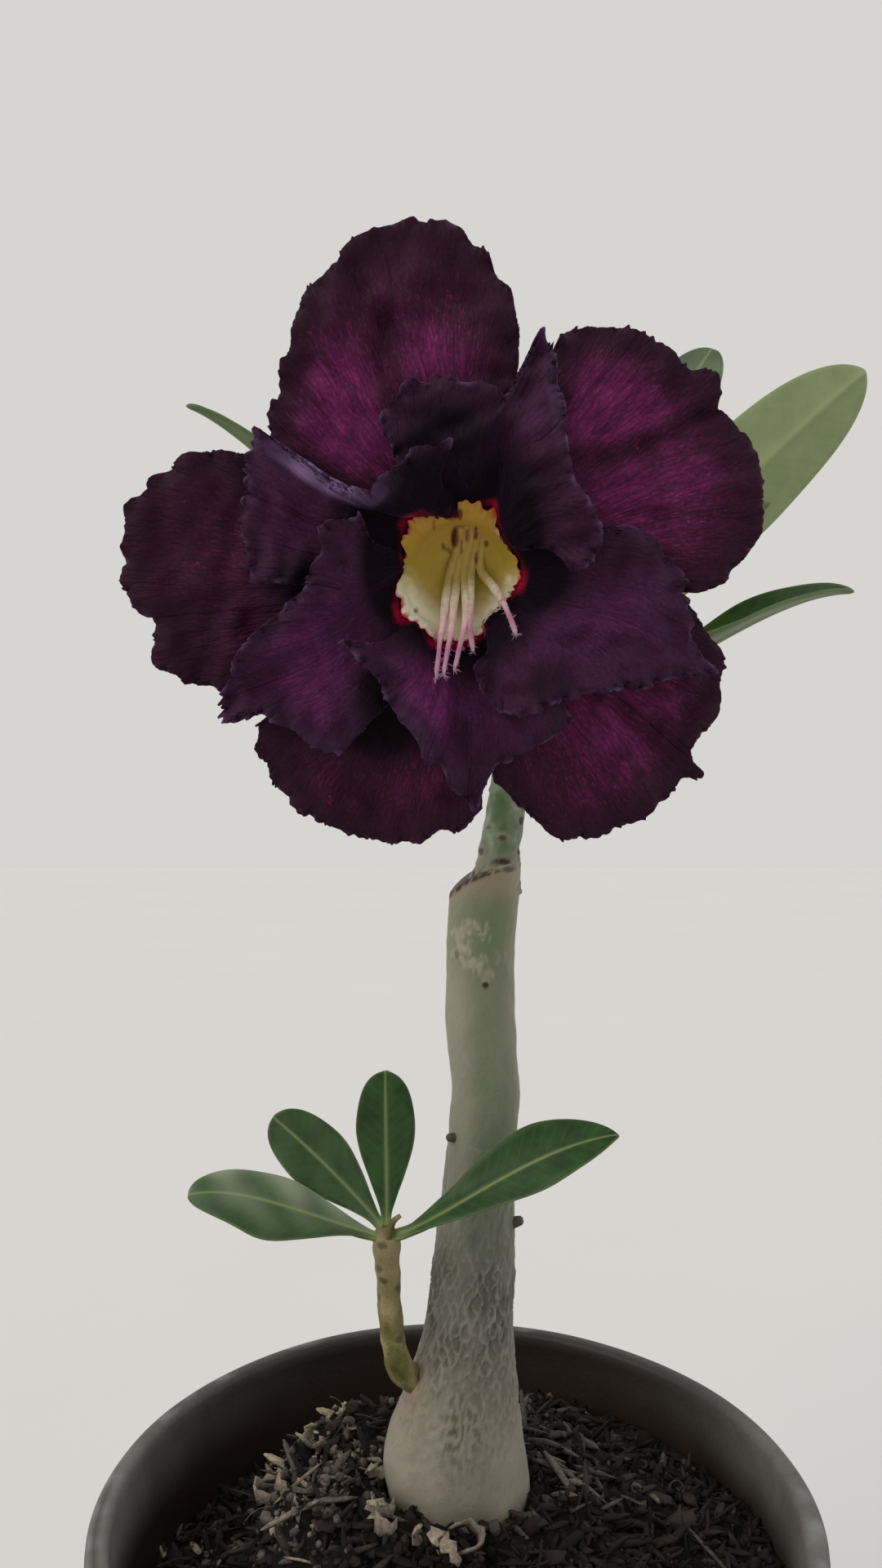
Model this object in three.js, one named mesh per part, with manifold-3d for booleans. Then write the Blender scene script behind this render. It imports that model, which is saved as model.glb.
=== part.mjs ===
// Grafted desert rose (adenium) in a round nursery pot, with one double bloom.
// Millimetres, +Z up, origin at the middle of the pot's underside.
import * as THREE from 'three';
import { mergeVertices } from 'three/addons/utils/BufferGeometryUtils.js';
import Module from 'manifold-3d';

const wasm = await Module();
wasm.setup();

// Driving dimensions
const clearance = 0.3; // between neighbouring pieces
const snugGap = 0.35; // between a piece and the one that it stands in
const potHeight = 110;
const rimRadius = 62.5;
const lipDepth = 12; // height of the lip band
const lipStep = 3.2; // how far the lip stands out of the wall below it
const footRadius = 43;
const wallThickness = 2.2;
const floorThickness = 3;
const drainHoleRadius = 4.5;
const drainHoleCircle = 27;
const drainHoleCount = 6;

const trunkY = 6; // the stem stands a little behind the pot's axis
const rootRadius = 11; // buried root, where it leaves the swollen base
const rootTipRadius = 8;
const rootTopHeight = 100;
const rootTopX = 0.6;
const rootBottomHeight = 66;

const petalThickness = 0.7;
const bloomCentre = [-0.3, -54.5, 259.7]; // middle of the throat's mouth
const bloomNod = THREE.MathUtils.degToRad(10.2); // the bloom faces a little downwards
const throatRadius = 7;
const tubeLength = 46;

const east = new THREE.Vector3(1, 0, 0);
const north = new THREE.Vector3(0, 1, 0);
const up = new THREE.Vector3(0, 0, 1);

// ---------------------------------------------------------------- helpers

// Seeded random numbers between 0 and 1
function randomFrom(seed) {
  let state = seed;
  return () => {
    state = (state + 0x6d2b79f5) | 0;
    let t = Math.imul(state ^ (state >>> 15), 1 | state);
    t = (t + Math.imul(t ^ (t >>> 7), 61 | t)) ^ t;
    return ((t ^ (t >>> 14)) >>> 0) / 4294967296;
  };
}

function lerp(a, b, t) {
  return a + (b - a) * t;
}

function vector(list) {
  return new THREE.Vector3(...list);
}

// Point at a distance and an angle from the Z axis
function around(radius, angle, z) {
  return new THREE.Vector3(radius * Math.cos(angle), radius * Math.sin(angle), z);
}

// Value at x between stations, each a row that starts with its own x
function along(stations, x, column = 1) {
  let i = 0;
  while (i < stations.length - 2 && x > stations[i + 1][0]) i += 1;
  const [a, b] = [stations[i], stations[i + 1]];
  return lerp(a[column], b[column], THREE.MathUtils.clamp((x - a[0]) / (b[0] - a[0]), 0, 1));
}

function geometryOf(points, faces) {
  const geometry = new THREE.BufferGeometry();
  const numbers = points.flatMap((p) => [p.x, p.y, p.z]);
  geometry.setAttribute('position', new THREE.Float32BufferAttribute(numbers, 3));
  geometry.setIndex(faces.flat());
  return geometry;
}

// A closed solid through rings of as many points. Its two ends are filled from their middles, or,
// for a hoop, the last ring joins the first.
function loft(rings, hoop = false) {
  const sides = rings[0].length;
  const points = rings.flat();
  const faces = [];
  for (let i = 0; i < (hoop ? rings.length : rings.length - 1); i += 1) {
    for (let j = 0; j < sides; j += 1) {
      const next = (j + 1) % sides;
      const [a, b] = [i * sides + j, i * sides + next];
      const [c, d] = [a, b].map((k) => (k + sides) % points.length);
      faces.push([a, b, d], [a, d, c]);
    }
  }
  if (hoop) return geometryOf(points, faces);
  const middle = (points) => points.reduce((sum, p) => sum.add(p), new THREE.Vector3()).divideScalar(sides);
  const start = points.push(middle(rings[0])) - 1;
  const end = points.push(middle(rings.at(-1))) - 1;
  const lastRing = (rings.length - 1) * sides;
  for (let j = 0; j < sides; j += 1) {
    const next = (j + 1) % sides;
    faces.push([start, next, j], [end, lastRing + j, lastRing + next]);
  }
  return geometryOf(points, faces);
}

function ring(centre, axisU, axisV, radius, sides) {
  return Array.from({ length: sides }, (_, j) => {
    const angle = (2 * Math.PI * j) / sides;
    const { x, y } = around(typeof radius === 'function' ? radius(angle) : radius, angle, 0);
    return centre.clone().addScaledVector(axisU, x).addScaledVector(axisV, y);
  });
}

// A round stem along a curve; radius(t) for t from 0 at its start to 1 at its end
function stem(curve, radius, steps, sides) {
  const rings = [];
  for (let i = 0; i <= steps; i += 1) {
    const t = i / steps;
    const tangent = curve.getTangentAt(t);
    const axisU = north.clone().cross(tangent).normalize();
    const axisV = tangent.clone().cross(axisU);
    rings.push(ring(curve.getPointAt(t), axisU, axisV, radius(t), sides));
  }
  return loft(rings);
}

function curveThrough(points) {
  return new THREE.CatmullRomCurve3(points, false, 'catmullrom', 0.5);
}

// A thin closed blade on a grid of points, grid[row][column]; both faces have the same triangles.
// rib(row, column) thickens it below, as along a midrib.
function blade(grid, thickness, rib = () => 0) {
  const rows = grid.length;
  const columns = grid[0].length;
  const top = [];
  const bottom = [];
  for (let i = 0; i < rows; i += 1) {
    for (let j = 0; j < columns; j += 1) {
      const lengthwise = grid[Math.min(i + 1, rows - 1)][j].clone().sub(grid[Math.max(i - 1, 0)][j]);
      const across = grid[i][Math.min(j + 1, columns - 1)].clone().sub(grid[i][Math.max(j - 1, 0)]);
      const normal = lengthwise.cross(across).normalize();
      top.push(grid[i][j].clone().addScaledVector(normal, thickness / 2));
      bottom.push(grid[i][j].clone().addScaledVector(normal, -thickness / 2 - rib(i, j)));
    }
  }
  const under = rows * columns;
  const faces = [];
  for (let i = 0; i < rows - 1; i += 1) {
    for (let j = 0; j < columns - 1; j += 1) {
      const [a, b] = [i * columns + j, (i + 1) * columns + j];
      faces.push([a, b, b + 1], [a, b + 1, a + 1]);
      faces.push([under + a, under + b + 1, under + b], [under + a, under + a + 1, under + b + 1]);
    }
  }
  const border = [];
  for (let i = 0; i < rows - 1; i += 1) border.push(i * columns);
  for (let j = 0; j < columns - 1; j += 1) border.push((rows - 1) * columns + j);
  for (let i = rows - 1; i > 0; i -= 1) border.push(i * columns + columns - 1);
  for (let j = columns - 1; j > 0; j -= 1) border.push(j);
  border.forEach((a, k) => {
    const b = border[(k + 1) % border.length];
    faces.push([under + a, under + b, b], [under + a, b, a]);
  });
  return geometryOf([...top, ...bottom], faces);
}

function toSolid(geometry) {
  const bare = geometry.clone();
  bare.deleteAttribute('normal');
  bare.deleteAttribute('uv');
  const merged = mergeVertices(bare);
  const vertProperties = new Float32Array(merged.attributes.position.array);
  const triVerts = new Uint32Array(merged.index.array);
  return new wasm.Manifold(new wasm.Mesh({ numProp: 3, vertProperties, triVerts }));
}

function fromSolid(solid) {
  const mesh = solid.getMesh();
  const geometry = new THREE.BufferGeometry();
  geometry.setAttribute('position', new THREE.BufferAttribute(new Float32Array(mesh.vertProperties), 3));
  geometry.setIndex(new THREE.BufferAttribute(new Uint32Array(mesh.triVerts), 1));
  return geometry;
}

function fused(geometries) {
  return fromSolid(geometries.map(toSolid).reduce((sum, solid) => sum.add(solid)));
}

function cut(geometry, ...tools) {
  return fromSolid(tools.map(toSolid).reduce((sum, solid) => sum.subtract(solid), toSolid(geometry)));
}

// The largest body of a geometry, without loose scraps
function largestBody(geometry) {
  const bodies = toSolid(geometry).decompose();
  return fromSolid(bodies.reduce((best, body) => (body.volume() > best.volume() ? body : best)));
}

function finish(color, roughness) {
  return new THREE.MeshStandardMaterial({ color, roughness, metalness: 0 });
}

function addPiece(group, name, geometry, material) {
  const mesh = new THREE.Mesh(geometry, material);
  mesh.name = name;
  group.add(mesh);
}

// ---------------------------------------------------------------- pot

const lipRadius = rimRadius - 0.8; // the lip band leans out by this much to its top
const wallTopRadius = rimRadius - lipStep;
const lipBottom = potHeight - lipDepth;

// Outer wall radius at a height, below the lip
function wallRadius(height) {
  return lerp(footRadius, wallTopRadius, height / lipBottom);
}

function potInnerRadius(height) {
  return wallRadius(height) - wallThickness;
}

function potGeometry() {
  const profile = [
    [0, 0],
    [footRadius - 1.2, 0],
    [footRadius + 0.1, 1.2],
    [wallRadius(lipBottom), lipBottom],
    [lipRadius - 0.6, lipBottom],
    [lipRadius, lipBottom + 0.8],
    [rimRadius, potHeight - 1.6],
    [rimRadius - 0.7, potHeight - 0.3],
    [rimRadius - 2, potHeight],
    [rimRadius - 3.6, potHeight - 0.5],
    [potInnerRadius(potHeight - 3.2), potHeight - 3.2],
    [potInnerRadius(floorThickness), floorThickness],
    [0, floorThickness],
  ];
  const body = new THREE.LatheGeometry(profile.map(([r, z]) => new THREE.Vector2(r, z)), 44);
  body.rotateX(Math.PI / 2);
  const holes = Array.from({ length: drainHoleCount }, (_, i) => {
    const place = around(drainHoleCircle, (2 * Math.PI * (i + 0.5)) / drainHoleCount, floorThickness / 2);
    const hole = new THREE.CylinderGeometry(drainHoleRadius, drainHoleRadius, 3 * floorThickness, 12);
    hole.rotateX(Math.PI / 2);
    hole.translate(...place);
    return hole;
  });
  return cut(body, ...holes);
}

// ---------------------------------------------------------------- soil

const trunkFootX = 0.2;
const soilWallLevel = 97;
const soilTrunkLevel = 106.5;
const soilGap = clearance + 0.15; // to the pot, whose faceted wall comes in between its corners
const soilSides = 32;
const soilCircles = [49, 42, 36, 31, 26, 20, 14, 6];
const chipCount = 50;
const holeRadius = 14; // round the swollen base

// Height of the soil: a mound round the stem, high and steep on its left where the old root ball
// stands clear of the pot, and a long slope on the right
function soilHeight(x, y) {
  const [dx, dy] = [x - trunkFootX, y - trunkY];
  const reach = Math.hypot(dx, dy);
  const alongside = THREE.MathUtils.smoothstep(52 - Math.abs(dy - 4), 0, 22);
  const left = THREE.MathUtils.smoothstep(-dx, -10, 26) * alongside;
  const [shelf, foot] = [lerp(15, 29, left), lerp(50, 41, left)];
  const wallLevel = lerp(soilWallLevel, soilWallLevel - 7, left);
  const topLevel = soilTrunkLevel + 2.5 * left;
  const lumps = 0.7 * Math.sin(0.31 * x + 1.3) * Math.cos(0.27 * y) + 0.45 * Math.sin(0.83 * y + 0.5 * x);
  return lerp(topLevel, wallLevel, THREE.MathUtils.smoothstep(reach, shelf, foot)) + lumps;
}

function chip(random, kind) {
  const sliver = kind === 'sliver';
  const length = sliver ? lerp(5, 11, random()) : lerp(2.6, 4.4, random());
  const width = sliver ? lerp(1.1, 1.9, random()) : length * lerp(0.6, 0.9, random());
  const height = sliver ? 1.8 : length * 0.75;
  const body = new THREE.BoxGeometry(length, width, height);
  const spots = body.attributes.position;
  for (let i = 0; i < spots.count; i += 1) {
    const taper = spots.getZ(i) > 0 ? 0.62 : 1; // narrower above than below
    spots.setXYZ(i, spots.getX(i) * (sliver ? 1 : taper), spots.getY(i) * taper, spots.getZ(i));
  }
  body.rotateX(lerp(-0.3, 0.3, random()));
  body.rotateY(lerp(-0.3, 0.3, random()));
  body.rotateZ(lerp(0, Math.PI, random()));
  return body;
}

function soilPoint(radius, angle) {
  const point = around(radius, angle, 0);
  point.z = soilHeight(point.x, point.y);
  return point;
}

function soilGeometry() {
  const circle = (spot) => Array.from({ length: soilSides }, (_, j) => spot((2 * Math.PI * j) / soilSides));
  const bottom = floorThickness + clearance;
  const rim = circle((angle) => {
    const level = soilPoint(potInnerRadius(soilWallLevel) - soilGap, angle).z;
    return around(potInnerRadius(level) - soilGap, angle, level);
  });
  const ground = loft([
    circle((angle) => around(potInnerRadius(bottom) - soilGap, angle, bottom)),
    rim,
    ...soilCircles.map((radius) => circle((angle) => soilPoint(radius, angle))),
  ]);

  const random = randomFrom(7);
  const chips = [];
  while (chips.length < chipCount) {
    const angle = 2 * Math.PI * random();
    const place = soilPoint(lerp(5, 51, Math.sqrt(random())), angle);
    const piece = chip(random, chips.length % 5 < 3 ? 'sliver' : 'chunk');
    if (Math.hypot(place.x - trunkFootX, place.y - trunkY) > holeRadius + 7) {
      piece.translate(...place);
      chips.push(piece);
    }
  }
  const holeRings = [
    [rootBottomHeight - clearance, 0, rootTipRadius + snugGap],
    [rootTopHeight, rootTopX, rootRadius + snugGap],
    [rootTopHeight + 4, trunkFootX, holeRadius],
    [potHeight + 8, trunkFootX, holeRadius],
  ];
  const hole = loft(
    holeRings.map(([z, x, r]) => ring(new THREE.Vector3(x, trunkY, z), east, north, r, soilSides)),
  );
  return largestBody(cut(fused([ground, ...chips]), hole));
}

// ---------------------------------------------------------------- rootstock and scion

const graftSlope = 0.5; // the slanted graft cut rises this much per millimetre to the right
const graftHeight = 214.6; // at the rootstock's own middle

// Stem outline: height, middle x, half width
const rootstockStations = [
  [rootBottomHeight, 0, rootTipRadius],
  [rootTopHeight, rootTopX, rootRadius],
  [103, 0.9, 12.3],
  [106, 0.7, 12.8],
  [109, 0, 13],
  [112.1, -0.4, 12.9],
  [116.8, -0.1, 12.1],
  [123.6, 0.9, 10.3],
  [132.6, 2, 8.4],
  [140.6, 2.7, 7.6],
  [148.4, 3.5, 7.1],
  [155.1, 3.9, 6.7],
  [167, 4.8, 6.2],
  [178, 5.6, 6.15],
  [190, 4.6, 6.2],
  [197.5, 4.5, 6],
  [203.5, 4.4, 6.15],
  [209.6, 4.7, 6.5],
  [graftHeight, 5.2, 6.5],
];

const scionStations = [
  [graftHeight, 7, 4.7],
  [218.3, 7.9, 4.2],
  [221, 8.4, 3.85],
  [224, 8.8, 3.75],
  [228, 9.4, 3.65],
  [236, 10.3, 3.6],
  [246, 11.3, 3.8],
  [254, 11.9, 3.9],
  [260, 12.1, 3.3],
  [263, 12.2, 1.8],
];
const scionTop = new THREE.Vector3(12.2, trunkY, 263);

// Low relief of the bark: drawn-out net on the swollen part, dying out above and below
function barkRelief(angle, z) {
  const strength = THREE.MathUtils.smoothstep(z, 104, 116) * (1 - THREE.MathUtils.smoothstep(z, 150, 172));
  const net = Math.sin(5 * angle + z * 0.42) * Math.sin(5 * angle - z * 0.42);
  return 0.3 * strength * net;
}

function stationRings(stations, heights, sides, relief, tilt, grow = 0) {
  return heights.map((z) => {
    const centre = new THREE.Vector3(along(stations, z), trunkY, z);
    const radius = along(stations, z, 2) + grow;
    const points = ring(centre, east, north, (a) => radius + relief(a, z), sides);
    points.forEach((p) => {
      p.z += tilt(z) * (p.x - centre.x);
    });
    return points;
  });
}

const rootstockHeights = [
  rootBottomHeight, 83, rootTopHeight, 103, 106, 109, 112.1, 115.2, 118.4, 121.6, 124.8, 128, 131.2, 134.4,
  137.6, 140.8, 144, 147.2, 150.4, 154, 158, 163, 168, 173, 178, 184, 190, 197, 203.5, 209.6, graftHeight,
];

function rootstockGeometry(grow = 0) {
  const tilt = (z) => graftSlope * THREE.MathUtils.smoothstep(z, 203, graftHeight);
  return loft(stationRings(rootstockStations, rootstockHeights, 25, barkRelief, tilt, grow));
}

function nub(x, y, z, outward, radius) {
  const direction = vector(outward).normalize();
  const start = new THREE.Vector3(x, y, z).addScaledVector(direction, -1.2);
  const end = new THREE.Vector3(x, y, z).addScaledVector(direction, 1.6 * radius);
  return stem(new THREE.LineCurve3(start, end), (t) => radius * (1 - 0.35 * t * t), 2, 7);
}

const scionHeights = [graftHeight, 217, 219.5, 222, 224.5, 227, 230, 235, 240, 245, 250, 255, 260, 263];

function scionGeometry(grow = 0) {
  const tilt = (z) => graftSlope * (1 - THREE.MathUtils.smoothstep(z, graftHeight, 224));
  const lumps = (angle, z) => 0.12 * Math.sin(2 * angle + z * 0.9);
  const rings = stationRings(scionStations, scionHeights, 18, lumps, tilt, grow);
  // The scion's foot stands beside the rootstock's middle, so its first rings rise with the cut
  const rise = (scionStations[0][1] - along(rootstockStations, graftHeight)) * graftSlope;
  [rise + clearance, 0.6 * rise, 0.25 * rise].forEach((lift, i) => {
    rings[i].forEach((p) => {
      p.z += lift;
    });
  });
  return loft(rings);
}

// ---------------------------------------------------------------- side shoot

const shootPoints = [
  [-6, 3.2, 123],
  [-9.9, 0, 129],
  [-11.3, -2.2, 139.5],
  [-11.3, -3.4, 148],
  [-12, -4.2, 157],
];
const budPoints = [[-11.6, -5.4, 155.6], [-10.9, -6, 158.6], [-9.4, -6.4, 160]];

function shootRadius(t) {
  return lerp(2.75, 1.95, Math.min(1, 1.6 * t)) + 0.35 * THREE.MathUtils.smoothstep(t, 0.8, 1);
}

function shootGeometry(grow = 0) {
  const bud = stem(curveThrough(budPoints.map(vector)), (t) => lerp(0.8, 0.5, t), 2, 6);
  const body = stem(curveThrough(shootPoints.map(vector)), (t) => shootRadius(t) + grow, 11, 12);
  return grow > 0 ? body : cut(fused([body, bud]), rootstockGeometry(clearance));
}

// ---------------------------------------------------------------- leaves

const leafRows = 9;
const leafColumns = [-1, -0.55, 0, 0.55, 1]; // across the blade, 0 on the midrib
const leafThickness = 0.75;

// Half width along a leaf, as a share of the widest: a short stalk, widest past the middle, then a
// tip that is rounder the larger blunt is
function leafOutline(t, blunt) {
  const widening = THREE.MathUtils.smoothstep(t, -0.12, 0.68);
  const closing = Math.max(0, 1 - t ** (3 + 3 * blunt)) ** 0.75;
  return Math.max(widening * closing, lerp(0.13, 0.05, t));
}

// face is the way the upper side looks; cup lifts both edges, twist turns the blade along its length
function leafGeometry({ root, bend, tip, width, face, cup = 0.25, twist = 0, blunt = 0.8, wave = 0.5 }) {
  const midrib = new THREE.CubicBezierCurve3(vector(root), vector(bend[0]), vector(bend[1]), vector(tip));
  const grid = [];
  for (let i = 0; i <= leafRows; i += 1) {
    const t = 1 - (1 - i / leafRows) ** 1.25; // rows closer together at the tip
    const tangent = midrib.getTangentAt(t);
    const side = vector(face).cross(tangent).normalize();
    side.applyAxisAngle(tangent, twist * t);
    const normal = tangent.clone().cross(side);
    const half = (width / 2) * leafOutline(t, blunt);
    grid.push(
      leafColumns.map((v) => {
        const ripple = wave * v * v * Math.sin(9 * t + 1.7 * v) * ((2 * half) / width);
        const lift = cup * half * Math.abs(v) ** 1.6 + ripple;
        return midrib.getPointAt(t).addScaledVector(side, half * v).addScaledVector(normal, lift);
      }),
    );
  }
  const rib = (row, column) => (leafColumns[column] === 0 ? lerp(0.9, 0.15, row / leafRows) : 0);
  return blade(grid, leafThickness, rib);
}

const shootLeaves = {
  shoot_leaf_left: {
    root: [-14.2, -5.4, 156.4], bend: [[-22, -7, 158.5], [-36, -8, 168]], tip: [-45.4, -7.5, 162.8],
    width: 12.5, face: [0.1, -0.62, 0.78], cup: 0.2, blunt: 1,
  },
  shoot_leaf_upper_left: {
    root: [-13.6, -2.6, 157.6], bend: [[-18.5, -1.6, 162], [-25, 0.4, 170]], tip: [-31.6, 1.5, 175.2],
    width: 11.2, face: [0.3, -0.92, 0.25], cup: 0.18, blunt: 1.3,
  },
  shoot_leaf_top: {
    root: [-12, -2.6, 158.6], bend: [[-12, -2, 166], [-12.3, -1.5, 176]], tip: [-12.1, -2, 183.6],
    width: 10.4, face: [0.05, -1, 0.1], cup: 0.12, blunt: 1.1,
  },
  shoot_leaf_right: {
    root: [-9.4, -6.6, 156.4], bend: [[-2, -9, 159.5], [13, -10, 171]], tip: [27, -9.5, 174],
    width: 10.6, face: [-0.2, -0.72, 0.66], cup: 0.3, blunt: 0.9,
  },
};

const scionLeaves = {
  scion_leaf_large: {
    root: [15.6, 7.8, 249], bend: [[34, 10, 268], [56, 9, 294]], tip: [74.4, 6, 308],
    width: 19.5, face: [-0.05, 0.98, 0.08], cup: 0.12, blunt: 1.8,
  },
  scion_leaf_rounded: {
    root: [13.8, 9.8, 256], bend: [[22, 14, 272], [37, 16, 298]], tip: [48.6, 15, 315.5],
    width: 18.5, face: [-0.5, -0.75, 0.4], cup: 0.12, blunt: 2,
  },
  scion_leaf_curled: {
    root: [15.8, 4.2, 245.5], bend: [[32, 0, 248], [52, -6, 268]], tip: [67, -8, 266.8],
    width: 12, face: [-0.12, 0.1, 1], cup: 0.4, twist: 0.5,
  },
  scion_leaf_short: {
    root: [15.9, 4.6, 254], bend: [[26, 2, 260], [42, -3, 272]], tip: [53.5, -6, 281],
    width: 13, face: [-0.4, 0.2, 0.9], cup: 0.2,
  },
  scion_leaf_hooked: {
    root: [8.2, 7.8, 252], bend: [[-10, 9, 272], [-32, 6, 300]], tip: [-47, -1, 297.6],
    width: 11, face: [0.5, -0.1, 0.8], cup: 0.4,
  },
  scion_leaf_back_left: {
    root: [9.8, 9.4, 247], bend: [[0, 22, 256], [-14, 42, 278]], tip: [-22, 56, 284],
    width: 18, face: [0.35, -0.55, 0.75], cup: 0.2,
  },
  scion_leaf_back: {
    root: [12.6, 10.4, 250.5], bend: [[14, 24, 262], [16, 44, 290]], tip: [17, 60, 300],
    width: 20, face: [0, -0.75, 0.65], cup: 0.2,
  },
  scion_leaf_back_right: {
    root: [14.4, 9.4, 243], bend: [[26, 20, 250], [42, 42, 266]], tip: [52, 54, 266],
    width: 18, face: [-0.35, -0.45, 0.82], cup: 0.25,
  },
};

// ---------------------------------------------------------------- bloom

// In the bloom's own frame X is to the right, Y up and Z towards whoever looks into the throat.
// A lobe is a fan from an arc of the throat's ring to its margin. Margin knots: angle in degrees,
// distance from the throat's middle, height towards the viewer. They run anticlockwise; tip is the
// knot where the two halves of the lobe meet.
const outerLobes = [
  { // upper left
    arc: [66, 142], tip: 6, arch: 0.6, crease: 0.5, ruffle: 0.4, waves: 3,
    knots: [
      [74, 27, -1], [78, 33.5, -1.8], [85, 39.5, -2.8], [91, 43, -3.4], [97, 44.2, -3.6],
      [104, 44, -3.6], [110, 43.6, -3.4], [112, 41.2, -3.2], [118, 40.5, -3], [131, 34, -2],
      [147, 29.5, -1],
    ],
  },
  { // right
    arc: [-8, 68], tip: 5, arch: 0.6, crease: 0.4, ruffle: 0.4, waves: 3,
    knots: [
      [-4, 29.5, -1.2], [-3, 32.5, -1.6], [4, 38, -2.8], [14, 40.5, -3.2], [25, 41, -3.4],
      [32, 39.6, -3.2], [37, 40.8, -3.2], [50, 38, -2.8], [60, 36, -2.2], [67, 32, -1.2],
    ],
  },
  { // lower right
    arc: [-84, -6], tip: 5, arch: 0.5, crease: 0.4, ruffle: 0.4, waves: 3,
    knots: [
      [-80, 28, -1.2], [-74, 32, -1.8], [-69, 37.5, -2.4], [-60, 40, -2.8], [-50, 41, -3],
      [-42, 40.6, -2.8], [-37, 39.5, -2.6], [-25, 38.5, -2.2], [-16, 35.5, -1.8], [-6, 30, -1.2],
    ],
  },
  { // bottom
    arc: [208, 282], tip: 3, arch: 0.5, crease: 0.4, ruffle: 0.4, waves: 3,
    knots: [
      [216, 33, -1.2], [223, 36, -1.8], [234, 37.5, -2.4], [247, 37.8, -2.8], [258, 37, -2.8],
      [264, 34.6, -2.4], [270, 34, -2.2], [276, 31, -1.2],
    ],
  },
  { // left
    arc: [144, 214], tip: 5, arch: 0.6, crease: 0.4, ruffle: 0.4, waves: 3,
    knots: [
      [150, 30, -1.2], [152, 33, -1.4], [155, 37, -2], [162, 41, -2.6], [168, 43.5, -3],
      [180, 44.4, -3.2], [187, 42.4, -2.8], [196, 41.5, -2.4], [202, 37.5, -1.8], [208, 33, -1.2],
    ],
  },
];

const innerLobes = [
  { // upper left
    arc: [98, 164], tip: 6, arch: 1.4, crease: 0.9, ruffle: 0.4, waves: 4,
    knots: [
      [93, 16.2, 8.6], [106, 15.6, 9], [123, 15, 9], [138, 15.4, 8.2], [143.4, 20, 7.4],
      [144, 24.5, 6.4], [144.4, 30.4, 5], [153, 29, 4.2], [162, 28, 3.6], [175, 27, 3.2],
      [182, 26, 2.8], [181, 21.6, 2.4],
    ],
  },
  { // top
    arc: [26, 98], tip: 6, arch: 1.6, crease: 1, ruffle: 0.4, waves: 4,
    knots: [
      [2, 14, 8.2], [8, 16.5, 9.2], [19, 18, 9.6], [34, 17.5, 9.2], [46, 19, 8.6], [59, 24, 7.4],
      [71, 31.4, 6], [73.6, 26.5, 5.6], [75.4, 22.8, 5.4], [86, 23, 5], [98, 24, 4.4], [108, 23.2, 3.6],
      [116, 22.4, 3], [119, 18.4, 2.4],
    ],
  },
  { // right
    arc: [-64, 28], tip: 6, arch: 1.4, crease: 0.9, ruffle: 0.4, waves: 4,
    knots: [
      [-81, 11, 7.4], [-77, 15.6, 8.6], [-68, 18.4, 8.8], [-59, 19, 8.4], [-46, 20.5, 7.8],
      [-32, 26, 6.6], [-20.2, 34.8, 5], [-13, 30, 4.4], [1, 28, 3.8], [12, 24.5, 3.2], [20, 19, 2.4],
    ],
  },
  { // bottom
    arc: [224, 298], tip: 5, arch: 1.4, crease: 0.9, ruffle: 0.4, waves: 4,
    knots: [
      [208, 16.4, 8], [224, 16, 8.8], [236, 17, 8.4], [250, 20, 7.4], [262, 23.5, 6.4],
      [274, 30.8, 4.6], [280, 25.5, 4.4], [289, 24, 3.8], [300, 24.4, 3.2], [309, 23, 2.6],
    ],
  },
  { // lower left
    arc: [160, 230], tip: 6, arch: 1.2, crease: 0.9, ruffle: 0.4, waves: 4,
    knots: [
      [149, 13.6, 8], [159, 17.4, 8.6], [175, 17.6, 8.4], [185, 19.6, 7.4], [193, 24, 6.4],
      [199, 29.4, 5.2], [210, 35.8, 4], [217, 30, 3.8], [226, 29, 3.4], [235, 28, 2.8], [238, 23, 2.4],
    ],
  },
];

const lobeColumns = 7; // in each half
const lobeRows = 4;

function polar(degrees, radius, height) {
  return around(radius, THREE.MathUtils.degToRad(degrees), height);
}

function lobeGeometry({ arc, tip, arch, crease, ruffle, waves, knots }, ringRadius, ringHeight) {
  const [before, after] = [knots.slice(0, tip + 1), knots.slice(tip)].map((half) =>
    curveThrough(half.map((knot) => polar(...knot))).getSpacedPoints(lobeColumns),
  );
  const rays = [...before, ...after.slice(1)].map((to, j) => ({
    from: polar(lerp(arc[0], arc[1], j / (2 * lobeColumns)), ringRadius, ringHeight),
    to,
    offMiddle: Math.abs(j / lobeColumns - 1), // 0 on the midrib, 1 at the side edges
    wave: Math.sin((Math.PI * waves * j) / lobeColumns),
  }));
  const grid = [];
  for (let i = 0; i <= lobeRows; i += 1) {
    const t = i / lobeRows;
    grid.push(
      rays.map(({ from, to, offMiddle, wave }) => {
        const point = from.clone().lerp(to, t);
        const belly = 4 * t * (1 - t);
        point.z += arch * belly - crease * belly * (1 - offMiddle) ** 3 + ruffle * t ** 3 * wave;
        return point;
      }),
    );
  }
  return blade(grid, petalThickness);
}

// How far the tube's middle rises behind the mouth, at a depth
function tubeRise(depth) {
  return 0.28 * depth - 0.0022 * depth * depth;
}

function tubeRing(radius, depth, sides = 20) {
  return ring(new THREE.Vector3(0, tubeRise(depth), -depth), east, north, radius, sides);
}

// Inner radius of the yellow lining by depth
const liningStations = [
  [0.2, throatRadius],
  [4, 6.9],
  [9, 6.4],
  [15, 5.6],
  [22, 4.5],
  [30, 3.4],
];
const liningWall = 0.7;
const liningEnd = 31; // its closed bottom
const tubeWall = 0.8;
const flangeRadius = 9.8; // the tube's front edge, where the outer lobes join it

function liningGeometry() {
  const depths = liningStations.map(([depth]) => depth).reverse();
  const outside = depths.map((depth) => tubeRing(along(liningStations, depth) + liningWall, depth));
  const inside = [...depths].reverse().map((depth) => tubeRing(along(liningStations, depth), depth));
  return loft([tubeRing(3, liningEnd), ...outside, ...inside]);
}

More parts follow.
